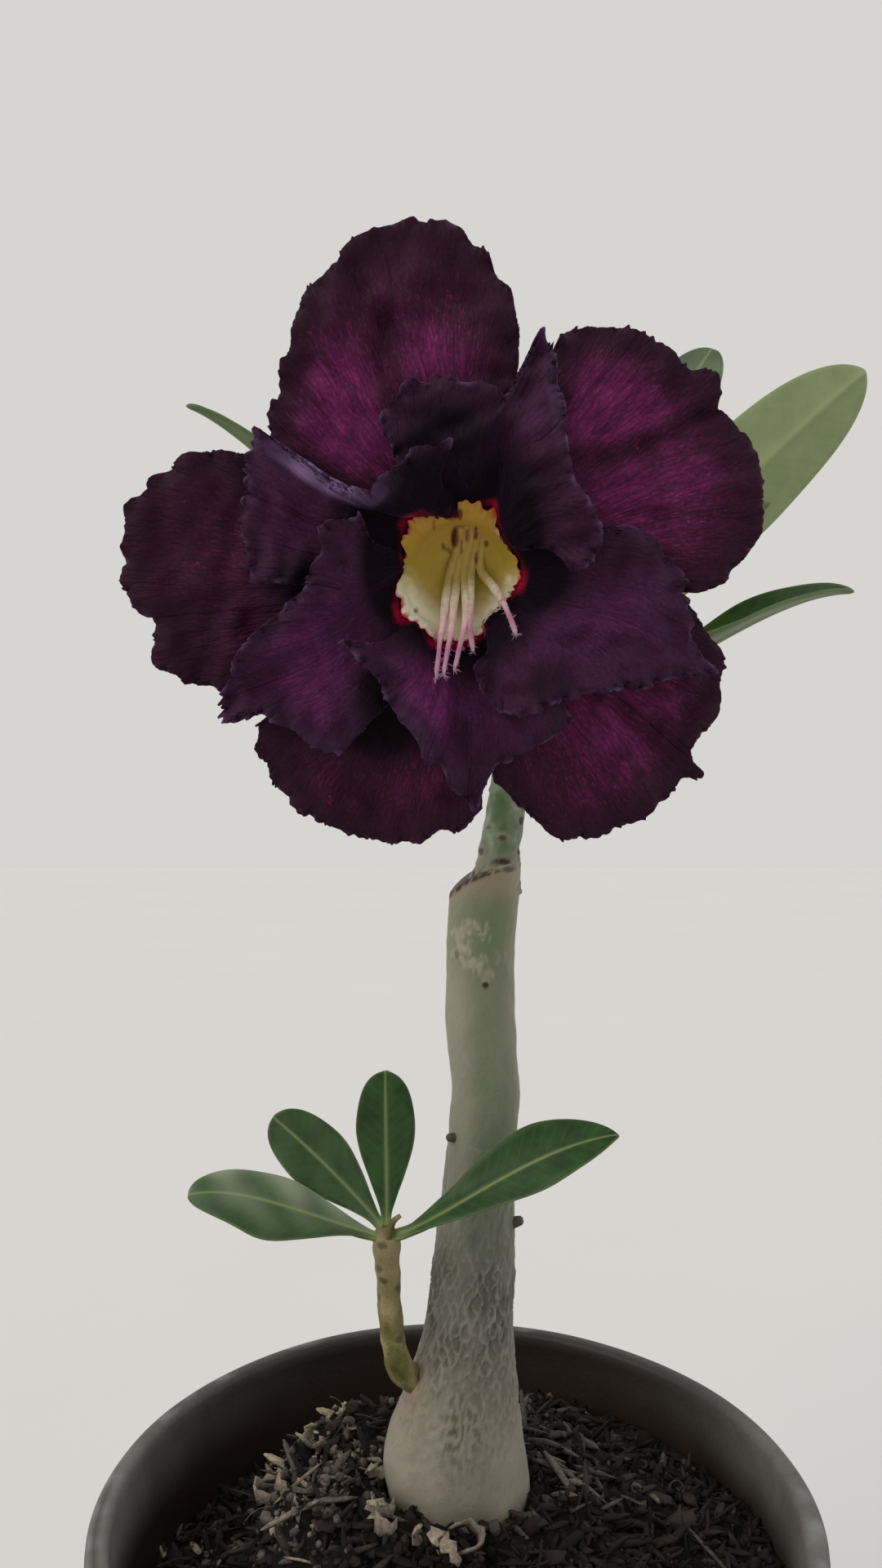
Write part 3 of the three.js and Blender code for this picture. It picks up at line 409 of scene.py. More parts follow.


# Leaves: thick waxy skin, deep green above with a pale midrib and hardly visible side veins, greyer and
# duller below, in blotches of 4 mm; a painted grey sheen, standing for reflected sky, lightens some of them,
# and a painted highlight runs along their edges
def waxyLeaf(name, above, aboveLight, below, belowLight, ribColour):
    material, tree, spot = newMaterial(name)
    cloud = addNode(tree, "TexNoise", {"Vector": spot, "Scale": 230, "Detail": 5, "Roughness": 0.6})
    fine = addNode(tree, "TexNoise", {"Vector": spot, "Scale": 2600, "Detail": 3})
    flat = addNode(tree, "UVMap", uv_map="UVMap")
    across, along = (addNode(tree, "SeparateXYZ", {0: flat}, axis) for axis in (0, 1))
    away = addNode(tree, "Math", {0: across}, operation="ABSOLUTE")
    slanted = addNode(tree, "Math", {0: away, 1: -0.9, 2: along}, operation="MULTIPLY_ADD")
    wavering = addNode(tree, "Math", {0: cloud, 1: 0.1, 2: slanted}, operation="MULTIPLY_ADD")
    veinSpot = addNode(tree, "CombineXYZ", {0: wavering})
    waves = addNode(tree, "TexWave", {
        "Vector": veinSpot, "Scale": 3.1, "Distortion": 3.5, "Detail": 3}, "Fac")
    veins = addNode(tree, "MapRange", {0: waves, 1: 0.8, 2: 1.0, 3: 0.0, 4: 0.035})
    rib, film, yellowed, upper, edge = (
        addNode(tree, "Attribute", None, "Fac", attribute_name=key)
        for key in ("rib", "film", "yellowed", "upper", "edge"))
    blotches = addNode(tree, "MapRange", {0: cloud, 1: 0.35, 2: 0.65})
    colour, back = (
        addNode(tree, "Mix", {0: blotches, 6: dark, 7: light}, 2, data_type="RGBA")
        for dark, light in ((above, aboveLight), (below, belowLight)))
    # film paints a grey sheen standing for reflected sky light: painted reflection
    for mask, layer in ((yellowed, "#4d6a1e"), (film, "#7b8672")):
        colour = addNode(tree, "Mix", {0: mask, 6: colour, 7: layer}, 2, data_type="RGBA")
    colour = addNode(tree, "Mix", {0: upper, 6: back, 7: colour}, 2, data_type="RGBA")
    # edge: the pale margin is a painted highlight
    for mask in (veins, rib, edge):
        colour = addNode(tree, "Mix", {0: mask, 6: colour, 7: ribColour}, 2, data_type="RGBA")
    rough = addNode(tree, "MapRange", {0: cloud, 1: 0.2, 2: 0.8, 3: 0.36, 4: 0.52})
    swollen = addNode(tree, "Bump", {"Height": waves, "Strength": 0.04, "Distance": 0.0003})
    grain = addNode(tree, "Bump", {"Height": fine, "Strength": 0.12, "Distance": 0.0002, "Normal": swollen})
    shader = addNode(tree, "BsdfPrincipled", {
        "Base Color": colour, "Roughness": rough, "Normal": grain, "IOR": 1.42, "Specular IOR Level": 0.32})
    addNode(tree, "OutputMaterial", {"Surface": shader})
    return material


# Petals: velvet of raised cells of 0.5 mm over fine radial veins, nearly black at the margin and magenta
# towards the middle, with painted glints on the magenta; next to the throat almost black again, partly the
# petals' own colour and partly painted shade, with painted shadow spots and creases dimmed as painted
# shade, a thin crimson ring round the yellow, and painted highlights along the edges and rolled margins
def velvetPetal(name, margin, middle, bright, glintColour, emberColour, back, highlightColour, sheen):
    material, tree, spot = newMaterial(name)
    cells = addNode(tree, "TexNoise", {"Vector": spot, "Scale": 2100, "Detail": 3, "Roughness": 0.6})
    cloud = addNode(tree, "TexNoise", {"Vector": spot, "Scale": 110, "Detail": 4})
    flat = addNode(tree, "UVMap", uv_map="UVMap")
    long, short = (
        addNode(tree, "Mapping", {"Vector": flat, "Scale": scale}) for scale in ((44, 3.0, 1), (74, 15, 1)))
    streaks = addNode(tree, "TexNoise", {
        "Vector": long, "Scale": 1.0, "Detail": 4, "Roughness": 0.6, "Distortion": 0.5})
    fine = addNode(tree, "TexNoise", {
        "Vector": short, "Scale": 2.0, "Detail": 3, "Roughness": 0.65, "Distortion": 0.4})
    crinkle = addNode(tree, "TexVoronoi", {
        "Vector": short, "Scale": 1.0, "Randomness": 0.9}, "Distance", feature="DISTANCE_TO_EDGE")
    ember = addNode(tree, "TexNoise", {"Vector": spot, "Scale": 1000, "Detail": 2})
    glow, deep, blush, edge, upper = (
        addNode(tree, "Attribute", None, "Fac", attribute_name=key)
        for key in ("glow", "deep", "blush", "edge", "upper"))
    uneven = addNode(tree, "MapRange", {0: cloud, 1: 0.25, 2: 0.75, 3: 0.7, 4: 1.2})
    warmth = addNode(tree, "Math", {0: glow, 1: uneven}, operation="MULTIPLY")
    colour = addNode(tree, "ValToRGB", {"Fac": warmth}, stops=[(0.0, margin), (0.5, middle), (1.0, bright)])
    dark, netted, glintSpots, between, embers = (
        addNode(tree, "MapRange", {0: pattern, 1: low, 2: high, 3: start, 4: end})
        for pattern, low, high, start, end in (
            (streaks, 0.44, 0.62, 0.0, 0.6), (crinkle, 0.0, 0.2, 0.45, 0.0), (fine, 0.54, 0.74, 0.0, 0.75),
            (cells, 0.4, 0.62, 0.0, 0.3), (ember, 0.7, 0.78, 0.0, 0.45)))
    glints = addNode(tree, "Math", {0: glintSpots, 1: warmth}, operation="MULTIPLY")
    # the bright flecks on the magenta are painted glints
    for mask, layer in (
        (dark, margin), (netted, margin), (glints, glintColour), (between, "#10060d"), (embers, emberColour),
        # deep lays painted shade next to the throat and in the shadow spots
        (deep, "#0a0408"), (blush, "#c21443"),
    ):
        colour = addNode(tree, "Mix", {0: mask, 6: colour, 7: layer}, 2, data_type="RGBA")
    backVeins = addNode(tree, "Mix", {0: dark, 6: back, 7: margin}, 2, data_type="RGBA")
    sided = addNode(tree, "Mix", {0: upper, 6: backVeins, 7: colour}, 2, data_type="RGBA")
    # edges and rolled margins turn pale violet: painted highlight
    highlighted = addNode(tree, "Mix", {0: edge, 6: sided, 7: highlightColour}, 2, data_type="RGBA")
    furrows = addNode(tree, "Bump", {"Height": streaks, "Strength": 0.55, "Distance": 0.0009})
    ripples = addNode(tree, "Bump", {
        "Height": crinkle, "Strength": 0.5, "Distance": 0.0006, "Normal": furrows})
    grain = addNode(tree, "Bump", {"Height": cells, "Strength": 0.2, "Distance": 0.0002, "Normal": ripples})
    shader = addNode(tree, "BsdfPrincipled", {
        "Base Color": highlighted, "Roughness": 0.62, "Normal": grain, "IOR": 1.4, "Specular IOR Level": 0.1,
        "Sheen Weight": sheen, "Sheen Roughness": 0.4, "Sheen Tint": "#a377c4"})
    addNode(tree, "OutputMaterial", {"Surface": shader})
    return material


# Throat: soft waxy tissue, olive yellow in the hollow, ochre with brown strokes above, pale cream painted
# on the lower lip as light falling on it from above, and crimson along the torn rim, with a few pinkish
# white knobs
def yellowThroat():
    material, tree, spot = newMaterial("yellowThroat")
    cloud = addNode(tree, "TexNoise", {"Vector": spot, "Scale": 420, "Detail": 4})
    cream, ochre, stroke, rim, knob = (
        addNode(tree, "Attribute", None, "Fac", attribute_name=key)
        for key in ("cream", "ochre", "stroke", "rim", "knob"))
    colour = addNode(tree, "Mix", {0: cloud, 6: "#a38b34", 7: "#bda646"}, 2, data_type="RGBA")
    # cream paints the lower lip pale where light from above falls: painted light
    for mask, layer in (
        (ochre, "#b3913f"), (cream, "#f2ebce"), (stroke, "#5c2a10"), (rim, "#b01232"), (knob, "#d9b4b8"),
    ):
        colour = addNode(tree, "Mix", {0: mask, 6: colour, 7: layer}, 2, data_type="RGBA")
    soft = addNode(tree, "Bump", {"Height": cloud, "Strength": 0.15, "Distance": 0.0004})
    shader = addNode(tree, "BsdfPrincipled", {
        "Base Color": colour, "Roughness": 0.5, "Normal": soft, "IOR": 1.4, "Specular IOR Level": 0.3,
        "Subsurface Weight": 0.35, "Subsurface Radius": (0.002, 0.0014, 0.0006), "Subsurface Scale": 1.0})
    addNode(tree, "OutputMaterial", {"Surface": shader})
    return material


# Anthers and threads: olive and ribbed on the cone, cream and pale pink where the hairy threads hang out
def hairyThread():
    material, tree, spot = newMaterial("hairyThread")
    tall = addNode(tree, "Mapping", {"Vector": spot, "Scale": (1, 1, 0.3)})
    grain = addNode(tree, "TexNoise", {"Vector": tall, "Scale": 2600, "Detail": 3})
    tipward, stroke = (
        addNode(tree, "Attribute", None, "Fac", attribute_name=key) for key in ("tipward", "stroke"))
    colour = addNode(tree, "ValToRGB", {"Fac": tipward}, stops=[
        (0.0, "#b8903e"), (0.2, "#b09a42"), (0.4, "#b5a254"), (0.52, "#ddd2b6"), (0.72, "#d9b2b6"),
        (0.86, "#b0708e"), (1.0, "#b58ea8")])
    brushed = addNode(tree, "MapRange", {0: grain, 1: 0.4, 2: 0.7, 3: 0.0, 4: 0.35})
    for mask, layer in ((brushed, "#8a5f66"), (stroke, "#5e2c10")):
        colour = addNode(tree, "Mix", {0: mask, 6: colour, 7: layer}, 2, data_type="RGBA")
    ribbed = addNode(tree, "Bump", {"Height": grain, "Strength": 0.4, "Distance": 0.0002})
    shader = addNode(tree, "BsdfPrincipled", {
        "Base Color": colour, "Roughness": 0.6, "Normal": ribbed, "Specular IOR Level": 0.25,
        "Sheen Weight": 0.2})
    addNode(tree, "OutputMaterial", {"Surface": shader})
    return material


# Calyx and stalk: soft green, finely downy, flushed red towards the tips of the sepals
def downyGreen():
    material, tree, spot = newMaterial("downyGreen")
    cloud = addNode(tree, "TexNoise", {"Vector": spot, "Scale": 380, "Detail": 4})
    fine = addNode(tree, "TexNoise", {"Vector": spot, "Scale": 3000, "Detail": 2})
    flush = addNode(tree, "Attribute", None, "Fac", attribute_name="flush")
    green = addNode(tree, "Mix", {0: cloud, 6: "#4c5e30", 7: "#6f7f4c"}, 2, data_type="RGBA")
    flushed = addNode(tree, "Mix", {0: flush, 6: green, 7: "#643229"}, 2, data_type="RGBA")
    down = addNode(tree, "Bump", {"Height": fine, "Strength": 0.3, "Distance": 0.0002})
    shader = addNode(tree, "BsdfPrincipled", {
        "Base Color": flushed, "Roughness": 0.6, "Normal": down, "Sheen Weight": 0.3,
        "Sheen Tint": "#dfe6c8"})
    addNode(tree, "OutputMaterial", {"Surface": shader})
    return material


# Floor: matt emulsion paint, pale and even
def mattFloorPaint():
    material, tree, spot = newMaterial("mattFloorPaint")
    cloud = addNode(tree, "TexNoise", {"Vector": spot, "Scale": 6, "Detail": 3})
    colour = addNode(tree, "Mix", {0: cloud, 6: "#cecece", 7: "#d3d3d2"}, 2, data_type="RGBA")
    shader = addNode(tree, "BsdfPrincipled", {
        "Base Color": colour, "Roughness": 0.8, "Specular IOR Level": 0.2})
    addNode(tree, "OutputMaterial", {"Surface": shader})
    return material


clearance = 0.3  # between neighbouring pieces
potSizes = {
    "height": 110, "rimRadius": 62.5, "lipDepth": 12, "lipStep": 3.2, "footRadius": 43,
    "wall": 2.2, "floor": 3, "drainRadius": 4.5, "drainCircle": 27, "drainCount": 6,
    "sides": 224, "profileStep": 2.5, "waviness": 0.12, "grooveDepth": 0.5,
    "drainSides": 24, "cutterFoot": -3.0, "cutterTop": 6.0,
}


def potWallRadius(z):
    p = potSizes
    share = np.asarray(z) / (p["height"] - p["lipDepth"])
    return mixed(p["footRadius"], p["rimRadius"] - p["lipStep"], share)


def potInnerRadius(z):
    return potWallRadius(z) - potSizes["wall"]


def makePot():
    # a profile of radius and height turned about the axis: up the outside, over the lip and down the inside
    p = potSizes
    top, rim, foot = p["height"], p["rimRadius"], p["footRadius"]
    under = top - p["lipDepth"]
    corners = np.array([
        (foot - 12, 0), (foot - 1.2, 0), (foot - 0.3, 0.35), (foot + 0.1, 1.2), (potWallRadius(20), 20),
        (potWallRadius(45), 45), (potWallRadius(70), 70), (potWallRadius(under) - 0.05, under - 1),
        (potWallRadius(under) + 0.3, under - 0.1), (rim - 1.8, under), (rim - 1.1, under + 0.25),
        (rim - 0.8, under + 0.9), (rim - 0.4, top - 6), (rim - 0.15, top - 2.2), (rim - 0.25, top - 1.1),
        (rim - 0.8, top - 0.35), (rim - 1.6, top - 0.05), (rim - 2.6, top - 0.1), (rim - 3.4, top - 0.45),
        (rim - 3.9, top - 1.2), (potInnerRadius(top - 3.2), top - 3.2), (potInnerRadius(80), 80),
        (potInnerRadius(40), 40), (potInnerRadius(p["floor"] + 1.5), p["floor"] + 1.5),
        (potInnerRadius(p["floor"]) - 1.2, p["floor"]), (foot - 16, p["floor"]),
    ], float)
    fine = [corners[:1]]
    for a, b in zip(corners[:-1], corners[1:]):
        steps = max(1, int(np.linalg.norm(b - a) // p["profileStep"]))
        fine.append(a + (b - a) * (np.arange(1, steps + 1) / steps)[:, None])
    profile = np.vstack(fine)
    angle = anglesRound(p["sides"])
    radius, z = profile[:, :1], profile[:, 1:]
    rings = pointsRound(angle, radius, z)
    # the lip sags by a few tenths of a millimetre here and there, and its left side has a worn groove
    rings[..., 2] -= ease(z, top - 5, top) * p["waviness"] * (1 + np.sin(3 * angle + 1) * np.cos(5 * angle))
    left = bump(angle, math.pi + 0.25, 0.5)
    groove = ease(left, 0.5, 0.9) * bump(radius, rim - 1.9, 0.4) * ease(z, top - 0.6, top - 0.2)
    rings[..., 2] -= p["grooveDepth"] * groove
    inside = (1 - ease(radius - potInnerRadius(z), 0.0, 1.3)) * ease(z, 2, 4)
    onLip = mixed(0.3, 1, ease(z, top - 4, top - 0.6)) * ease(z, under - 0.5, under + 0.5)
    faded = 0.85 - 0.6 * ease(np.sin(angle), 0.1, 0.6)
    scale = ease(roughness(rings, 9, 13), 0.3, 1.4) * ease(z, top - 1.6, top - 0.4)
    sideways = np.abs(np.cos(angle)) ** 1.5 * ease(-np.sin(angle), -1.0, 0.0)
    dustOutside = (onLip * faded + 0.1) * (1 - 0.95 * inside)
    # the inner wall is lighter high on its front sides, through the dust mask
    paleInsideSides = 0.95 * inside * ease(z, 96, 107) * sideways
    values = {
        "dust": np.clip(dustOutside + paleInsideSides, 0, 1),
        "stain": inside * (1 - 0.5 * ease(z, top - 4, top)) + 0 * angle,
        "scratch": groove,
        "lime": 0.35 * scale * (1 - inside),
    }
    pot = makePiece("nursery_pot", tubeShape(rings, values), dustyPolypropylene(), ["pot"])
    print("pot made")
    return pot


def cutDrainHoles(pot):
    # round holes through the floor, cut with cylinders and applied
    p = potSizes
    angle = anglesRound(p["drainSides"])
    holes = []
    for k in range(p["drainCount"]):
        turn = fullTurn * (k + 0.5) / p["drainCount"]
        middle = np.array([p["drainCircle"] * math.cos(turn), p["drainCircle"] * math.sin(turn)])
        circle = middle + p["drainRadius"] * np.stack([np.cos(angle), np.sin(angle)], -1)
        ends = [np.column_stack([circle, z + 0 * angle]) for z in (p["cutterFoot"], p["cutterTop"])]
        holes.append(tubeShape(np.stack(ends)))
    whole = joined(holes)
    mesh = bpy.data.meshes.new("drainCutter")
    faces = [*whole["quads"].tolist(), *whole["tris"].tolist()]
    mesh.from_pydata((whole["points"] * metresPerMm).tolist(), [], faces)
    cutter = bpy.data.objects.new("drainCutter", mesh)
    bpy.context.scene.collection.objects.link(cutter)
    trim = pot.modifiers.new("drain", "BOOLEAN")
    trim.operation = "DIFFERENCE"
    trim.object = cutter
    result = bpy.data.meshes.new_from_object(pot.evaluated_get(bpy.context.evaluated_depsgraph_get()))
    pot.modifiers.clear()
    pot.data = result
    bpy.data.objects.remove(cutter)


cutDrainHoles(makePot())


trunkFoot = np.array([0.2, 6.0])
soilSizes = {
    "wallLevel": 97, "trunkLevel": 106.5, "sides": 300, "rows": 110, "wallGap": 0.15, "farthest": 55.5,
    "hole": [(65.6, 8.4), (100, 11.5), (103, 13.2)],  # level and radius of the root's hole, upwards
    "wallLevels": (85, 45, 3.5),  # rings down the pot's wall
    "slivers": 2800, "crumbs": 3400, "husks": 130, "fibres": 230, "plates": 60, "greyCrumbs": 170,
    # places of the pale, red and cream bits that stand out, as x and y
    "greyClump": (-24, 3),
    "greySlivers": [
        (16, 10), (17.5, 12), (19, 7), (21, 11), (17, 15), (23, 6), (19, 1), (25, 13), (15, 22), (18, 27),
        (20, 18), (26, 24), (24, 31), (14, 30), (-30, 8), (-28, 0), (-22, -5)],
    "redPlates": [(41, 6), (46, 2), (38, 12), (44, 15), (36, -1)],
    "creamHusks": [
        (-12.3, -6.5), (-13, -9), (-11.6, -11.5), (-13.5, 3), (-5, -12), (-3, -14.5), (-1, -15.5),
        (1, -13), (-30, 2), (-26, 12), (-34, 9)],
}


def soilLevel(x, y):
    # a mound round the stem, steep on its left where the old root ball stands clear of the pot
    s = soilSizes
    dx, dy = x - trunkFoot[0], y - trunkFoot[1]
    left = ease(-dx, -10, 26) * ease(52 - np.abs(dy - 4), 0, 22)
    slope = ease(np.hypot(dx, dy), mixed(15, 29, left), mixed(50, 41, left))
    lumps = 0.7 * np.sin(0.31 * x + 1.3) * np.cos(0.27 * y) + 0.45 * np.sin(0.83 * y + 0.5 * x)
    return mixed(s["trunkLevel"] + 2.5 * left, s["wallLevel"] - 7 * left, slope) + lumps


def crumbled(x, y):
    # the mound's level with crumbs of three sizes, smooth next to the wall
    spot = np.stack([x, y], -1)
    edge = ease(56 - np.hypot(x, y), 0, 4)
    return soilLevel(x, y) + edge * (
        0.75 * roughness(spot, 8, 3) + 0.45 * roughness(spot, 3, 4) + 0.28 * roughness(spot, 1.3, 5))


def makeSoil():
    # the mix's top runs from the stem to the pot's wall; below, it follows the pot, and the root's hole stays
    # open
    s = soilSizes
    angle = anglesRound(s["sides"])
    way = np.stack([np.cos(angle), np.sin(angle)], -1)
    wall = potInnerRadius(s["wallLevel"]) - clearance - s["wallGap"]
    across = way @ trunkFoot
    reach = -across + np.sqrt(across ** 2 + wall ** 2 - trunkFoot @ trunkFoot)
    share = np.linspace(0, 1, s["rows"])[:, None]
    radius = mixed(s["hole"][-1][1], reach, share)
    flat = trunkFoot + radius[..., None] * way
    top = np.concatenate([flat, crumbled(flat[..., 0], flat[..., 1])[..., None]], -1)
    edgeWay = unit(top[-1, :, :2])

    def wallRing(z):
        r = potInnerRadius(z) - clearance - s["wallGap"]
        return np.column_stack([edgeWay * np.reshape(r, (-1, 1)), z + 0 * angle])

    holeRings = [np.column_stack([trunkFoot + r * way, z + 0 * angle]) for z, r in s["hole"]]
    wallRings = [wallRing(z) for z in (top[-1, :, 2], *s["wallLevels"])]
    rings = np.stack([*holeRings, *top, *wallRings])
    makePiece("potting_mix", tubeShape(rings), dampPottingMix(), ["soil"])


def spotsOnSoil(rng, count, nearest=13.8):
    # random places on the soil, clear of the stem and the wall
    radius = soilSizes["farthest"] * np.sqrt(rng.uniform(0, 1, 3 * count))
    angle = rng.uniform(0, fullTurn, 3 * count)
    x, y = radius * np.cos(angle), radius * np.sin(angle)
    clear = np.hypot(x - trunkFoot[0], y - trunkFoot[1]) > nearest
    x, y = x[clear][:count], y[clear][:count]
    return np.stack([x, y, crumbled(x, y)], -1)


def sliverShape():
    # a splinter along X: five four-sided rings, pointed at both ends, a little crooked
    at = np.array([-0.5, -0.34, -0.02, 0.3, 0.5])
    half = np.array([0.12, 0.42, 0.5, 0.4, 0.1])
    turn = np.array([[1, 0.6], [-1, 0.8], [-0.9, -0.7], [1, -1]])
    rings = np.zeros((5, 4, 3))
    rings[..., 0] = at[:, None] + np.array([0, 0.02, -0.02, 0.01])
    rings[..., 1:] = half[:, None, None] * turn
    rings[2, :, 2] += 0.15
    return tubeShape(rings)


def crumbShape():
    # a grain: three uneven rings of five between two ends
    angle = anglesRound(5)
    rings = []
    for z, r, turn in ((-0.38, 0.3, 0.0), (-0.05, 0.5, 0.6), (0.3, 0.34, 0.2)):
        wobble = 1 + 0.2 * np.sin(2 * angle + 3 * z + 1)
        rings.append(pointsRound(angle + turn, r * wobble, z))
    return tubeShape(np.stack(rings))


def huskShape():
    # a curled strip of chaff: most of a circle, wider in its middle
    a, v = np.meshgrid(np.linspace(-2.2, 2.2, 11), np.linspace(-1, 1, 3), indexing="ij")
    width = 0.5 * np.cos(a / 2.6)
    torn = 1 + 0.3 * np.sin(7 * a + 2 * v) + 0.2 * np.cos(13 * a)
    x = np.cos(a) * (1 + 0.25 * a / 2.2)
    y = width * torn * v + 0.12 * np.sin(5 * a)
    z = np.sin(a) + 0.2 * v * torn
    return bladeShape(np.stack([x, y, z], -1) * 0.5, 0.09)


def fibreShape():
    # a bent coir hair, three-sided
    x = np.linspace(-0.5, 0.5, 8)
    angle = anglesRound(3)
    middle = np.stack([x, 0.16 * np.sin(5 * x), 0.12 * np.cos(4 * x)], -1)
    circle = np.stack([0 * angle, np.cos(angle), np.sin(angle)], -1) * 0.5
    return tubeShape(middle[:, None] + circle * [1, 0.02, 0.02])


def makeChips():
    # loose bits scattered over the mix: splinters, grains, plates, curled husk and coir hairs
    rng = np.random.default_rng(41)
    s = soilSizes

    def tumbled(count, tilt):
        yaw = rng.uniform(0, fullTurn, count)
        pitch = rng.normal(0, tilt, count)
        return turnsOf(yaw, pitch, rng.uniform(0, fullTurn, count))

    def laid(count, tilt, roll):
        yaw = rng.uniform(0, fullTurn, count)
        pitch = rng.normal(0, tilt, count)
        return turnsOf(yaw, pitch, rng.normal(0, roll, count))

    def sizesWithin(count, *ranges):
        return np.stack([rng.uniform(low, high, count) for low, high in ranges], -1)

    def shaded(tint, places):
        # painted shade darkens the chips on the right and front; chips high on the left clump are
        # lightened at random
        shadeDarkening = ease(places[:, 0], 2, 30) * 0.15 + ease(-places[:, 1], -4, 20) * 0.25
        raisedLeft = ease(-places[:, 0], 12, 26) * ease(places[:, 2], 100, 106)
        return np.clip(tint * (1 - shadeDarkening) + 0.42 * raisedLeft * rng.uniform(0, 1, len(tint)), 0, 1)

    def onSoil(spots, lift):
        x, y = np.array(spots, float).T
        return np.stack([x, y, crumbled(x, y) + lift], -1)

    husk = splinteredHusk()
    n = s["slivers"]
    places = spotsOnSoil(rng, n) + [0, 0, 0.25]
    length = rng.gamma(3.2, 1.4, n).clip(1.2, 12)
    sizes = np.column_stack([length, sizesWithin(n, (0.5, 1.7), (0.35, 1.1))])
    tint = shaded(rng.beta(1.1, 1.7, n), places)
    slivers = scattered(sliverShape(), places, sizes, laid(n, 0.38, 0.5), {"tint": tint})
    places = onSoil(s["greySlivers"], 1.2)
    n = len(places)
    sizes = sizesWithin(n, (7, 12), (0.8, 1.5), (0.7, 1.2))
    turns = turnsOf(rng.normal(-0.9, 0.4, n), rng.normal(0, 0.25, n), rng.normal(0, 0.4, n))
    grey = scattered(sliverShape(), places, sizes, turns, {"tint": rng.uniform(0.72, 0.84, n)})
    makePiece("soil_slivers", joined([slivers, grey]), husk, ["soil"])

    n = s["crumbs"]
    places = spotsOnSoil(rng, n) + [0, 0, 0.15]
    size = rng.gamma(3.0, 0.33, n).clip(0.45, 3.0)
    sizes = size[:, None] * rng.uniform(0.7, 1.3, (n, 3))
    tint = shaded(rng.beta(1.2, 2.0, n), places)
    crumbs = scattered(crumbShape(), places, sizes, tumbled(n, 0.8), {"tint": tint})
    n = s["greyCrumbs"]
    places = onSoil(rng.normal(s["greyClump"], (5, 6), (n, 2)), 0.5)
    size = rng.gamma(4.0, 0.3, n).clip(0.6, 2.2)
    sizes = size[:, None] * rng.uniform(0.8, 1.2, (n, 3))
    grey = scattered(crumbShape(), places, sizes, tumbled(n, 0.8), {"tint": rng.uniform(0.66, 0.86, n)})
    makePiece("soil_crumbs", joined([crumbs, grey]), husk, ["soil"])

    n = s["plates"]
    places = spotsOnSoil(rng, n, 17) + [0, 0, 0.5]
    sizes = sizesWithin(n, (3.5, 7.5), (2.5, 5), (0.8, 1.6))
    turns = laid(n, 0.25, 0.25)
    plates = scattered(crumbShape(), places, sizes, turns, {"tint": rng.uniform(0.2, 0.55, n)})
    places = onSoil(s["redPlates"], 0.9)
    n = len(places)
    sizes = sizesWithin(n, (5, 8.5), (3, 5), (1.0, 1.7))
    red = scattered(crumbShape(), places, sizes, laid(n, 0.2, 0.2), {"tint": rng.uniform(0.5, 0.58, n)})
    makePiece("bark_plates", joined([plates, red]), husk, ["soil"])

    n = s["husks"]
    places = np.vstack([spotsOnSoil(rng, n) + [0, 0, 0.6], onSoil(s["creamHusks"], 1.9)])
    fallen = shaded(rng.uniform(0.45, 0.95, n), places[:n])
    n = len(places)
    cream = np.arange(n) >= len(fallen)
    sizes = (rng.uniform(1.3, 2.6, n) + 2.4 * cream)[:, None] * rng.uniform(0.7, 1.3, (n, 3))
    tint = np.where(cream, rng.uniform(0.9, 1.0, n), np.pad(fallen, (0, n - len(fallen))))
    husks = scattered(huskShape(), places, sizes, tumbled(n, 0.5), {"tint": tint})
    makePiece("husk_curls", husks, husk, ["soil"])

    n = s["fibres"]
    places = spotsOnSoil(rng, n) + [0, 0, 0.5]
    length = rng.uniform(3, 11, n)
    sizes = np.stack([length, 0.6 * length, 0.5 * length], -1)
    turns = tumbled(n, 0.25)
    tint = shaded(rng.uniform(0.5, 0.9, n), places)
    fibres = scattered(fibreShape(), places, sizes, turns, {"tint": tint})
    makePiece("coir_hairs", fibres, husk, ["soil"])
    print("soil made")


makeSoil()
makeChips()


trunkY = 6
graft = {"height": 215.2, "slope": 0.35, "highest": 219.4, "drop": 6.2, "left": -1.0, "bend": 5.4}
rootstockStations = np.array([  # height, middle x, half width
    (66, 0, 8), (100, 0.6, 11), (103, 0.9, 12.3), (106, 0.7, 12.8), (109, 0, 13), (112.1, -0.4, 12.9),
    (116.8, -0.1, 12.1), (123.6, 0.9, 10.3), (132.6, 2, 8.4), (140.6, 2.7, 7.6), (148.4, 3.5, 7.1),
    (155.1, 3.9, 6.7), (167, 4.8, 6.2), (178, 5.6, 6.15), (190, 4.6, 6.2), (197.5, 4.5, 6),
    (203.5, 4.4, 6.1), (209.6, 4.9, 6.3), (215.2, 5.4, 6.35)])
scionStations = np.array([  # likewise
    (211.5, 7.1, 4.2), (214.6, 7.0, 4.5), (217.2, 6.9, 4.6), (219, 7.5, 4.1), (221.3, 8.1, 3.8),
    (224.4, 8.5, 3.6), (228, 9.1, 3.5), (236, 10.2, 3.55), (246, 11.3, 3.8), (254, 11.9, 3.9),
    (260, 12.1, 3.3), (263, 12.2, 1.8)])
barkNet = {
    "columns": 28, "levels": (100, 118, 130, 150, 160), "rises": (0, 3.2, 5.6, 10.2, 12.8),
    "waver": 0.24, "jitter": 0.16, "depth": 0.42}
shootCollar = {"middle": (-8.6, 2.0, 126.8), "spread": 3.0, "swell": (0.6, 0.45)}
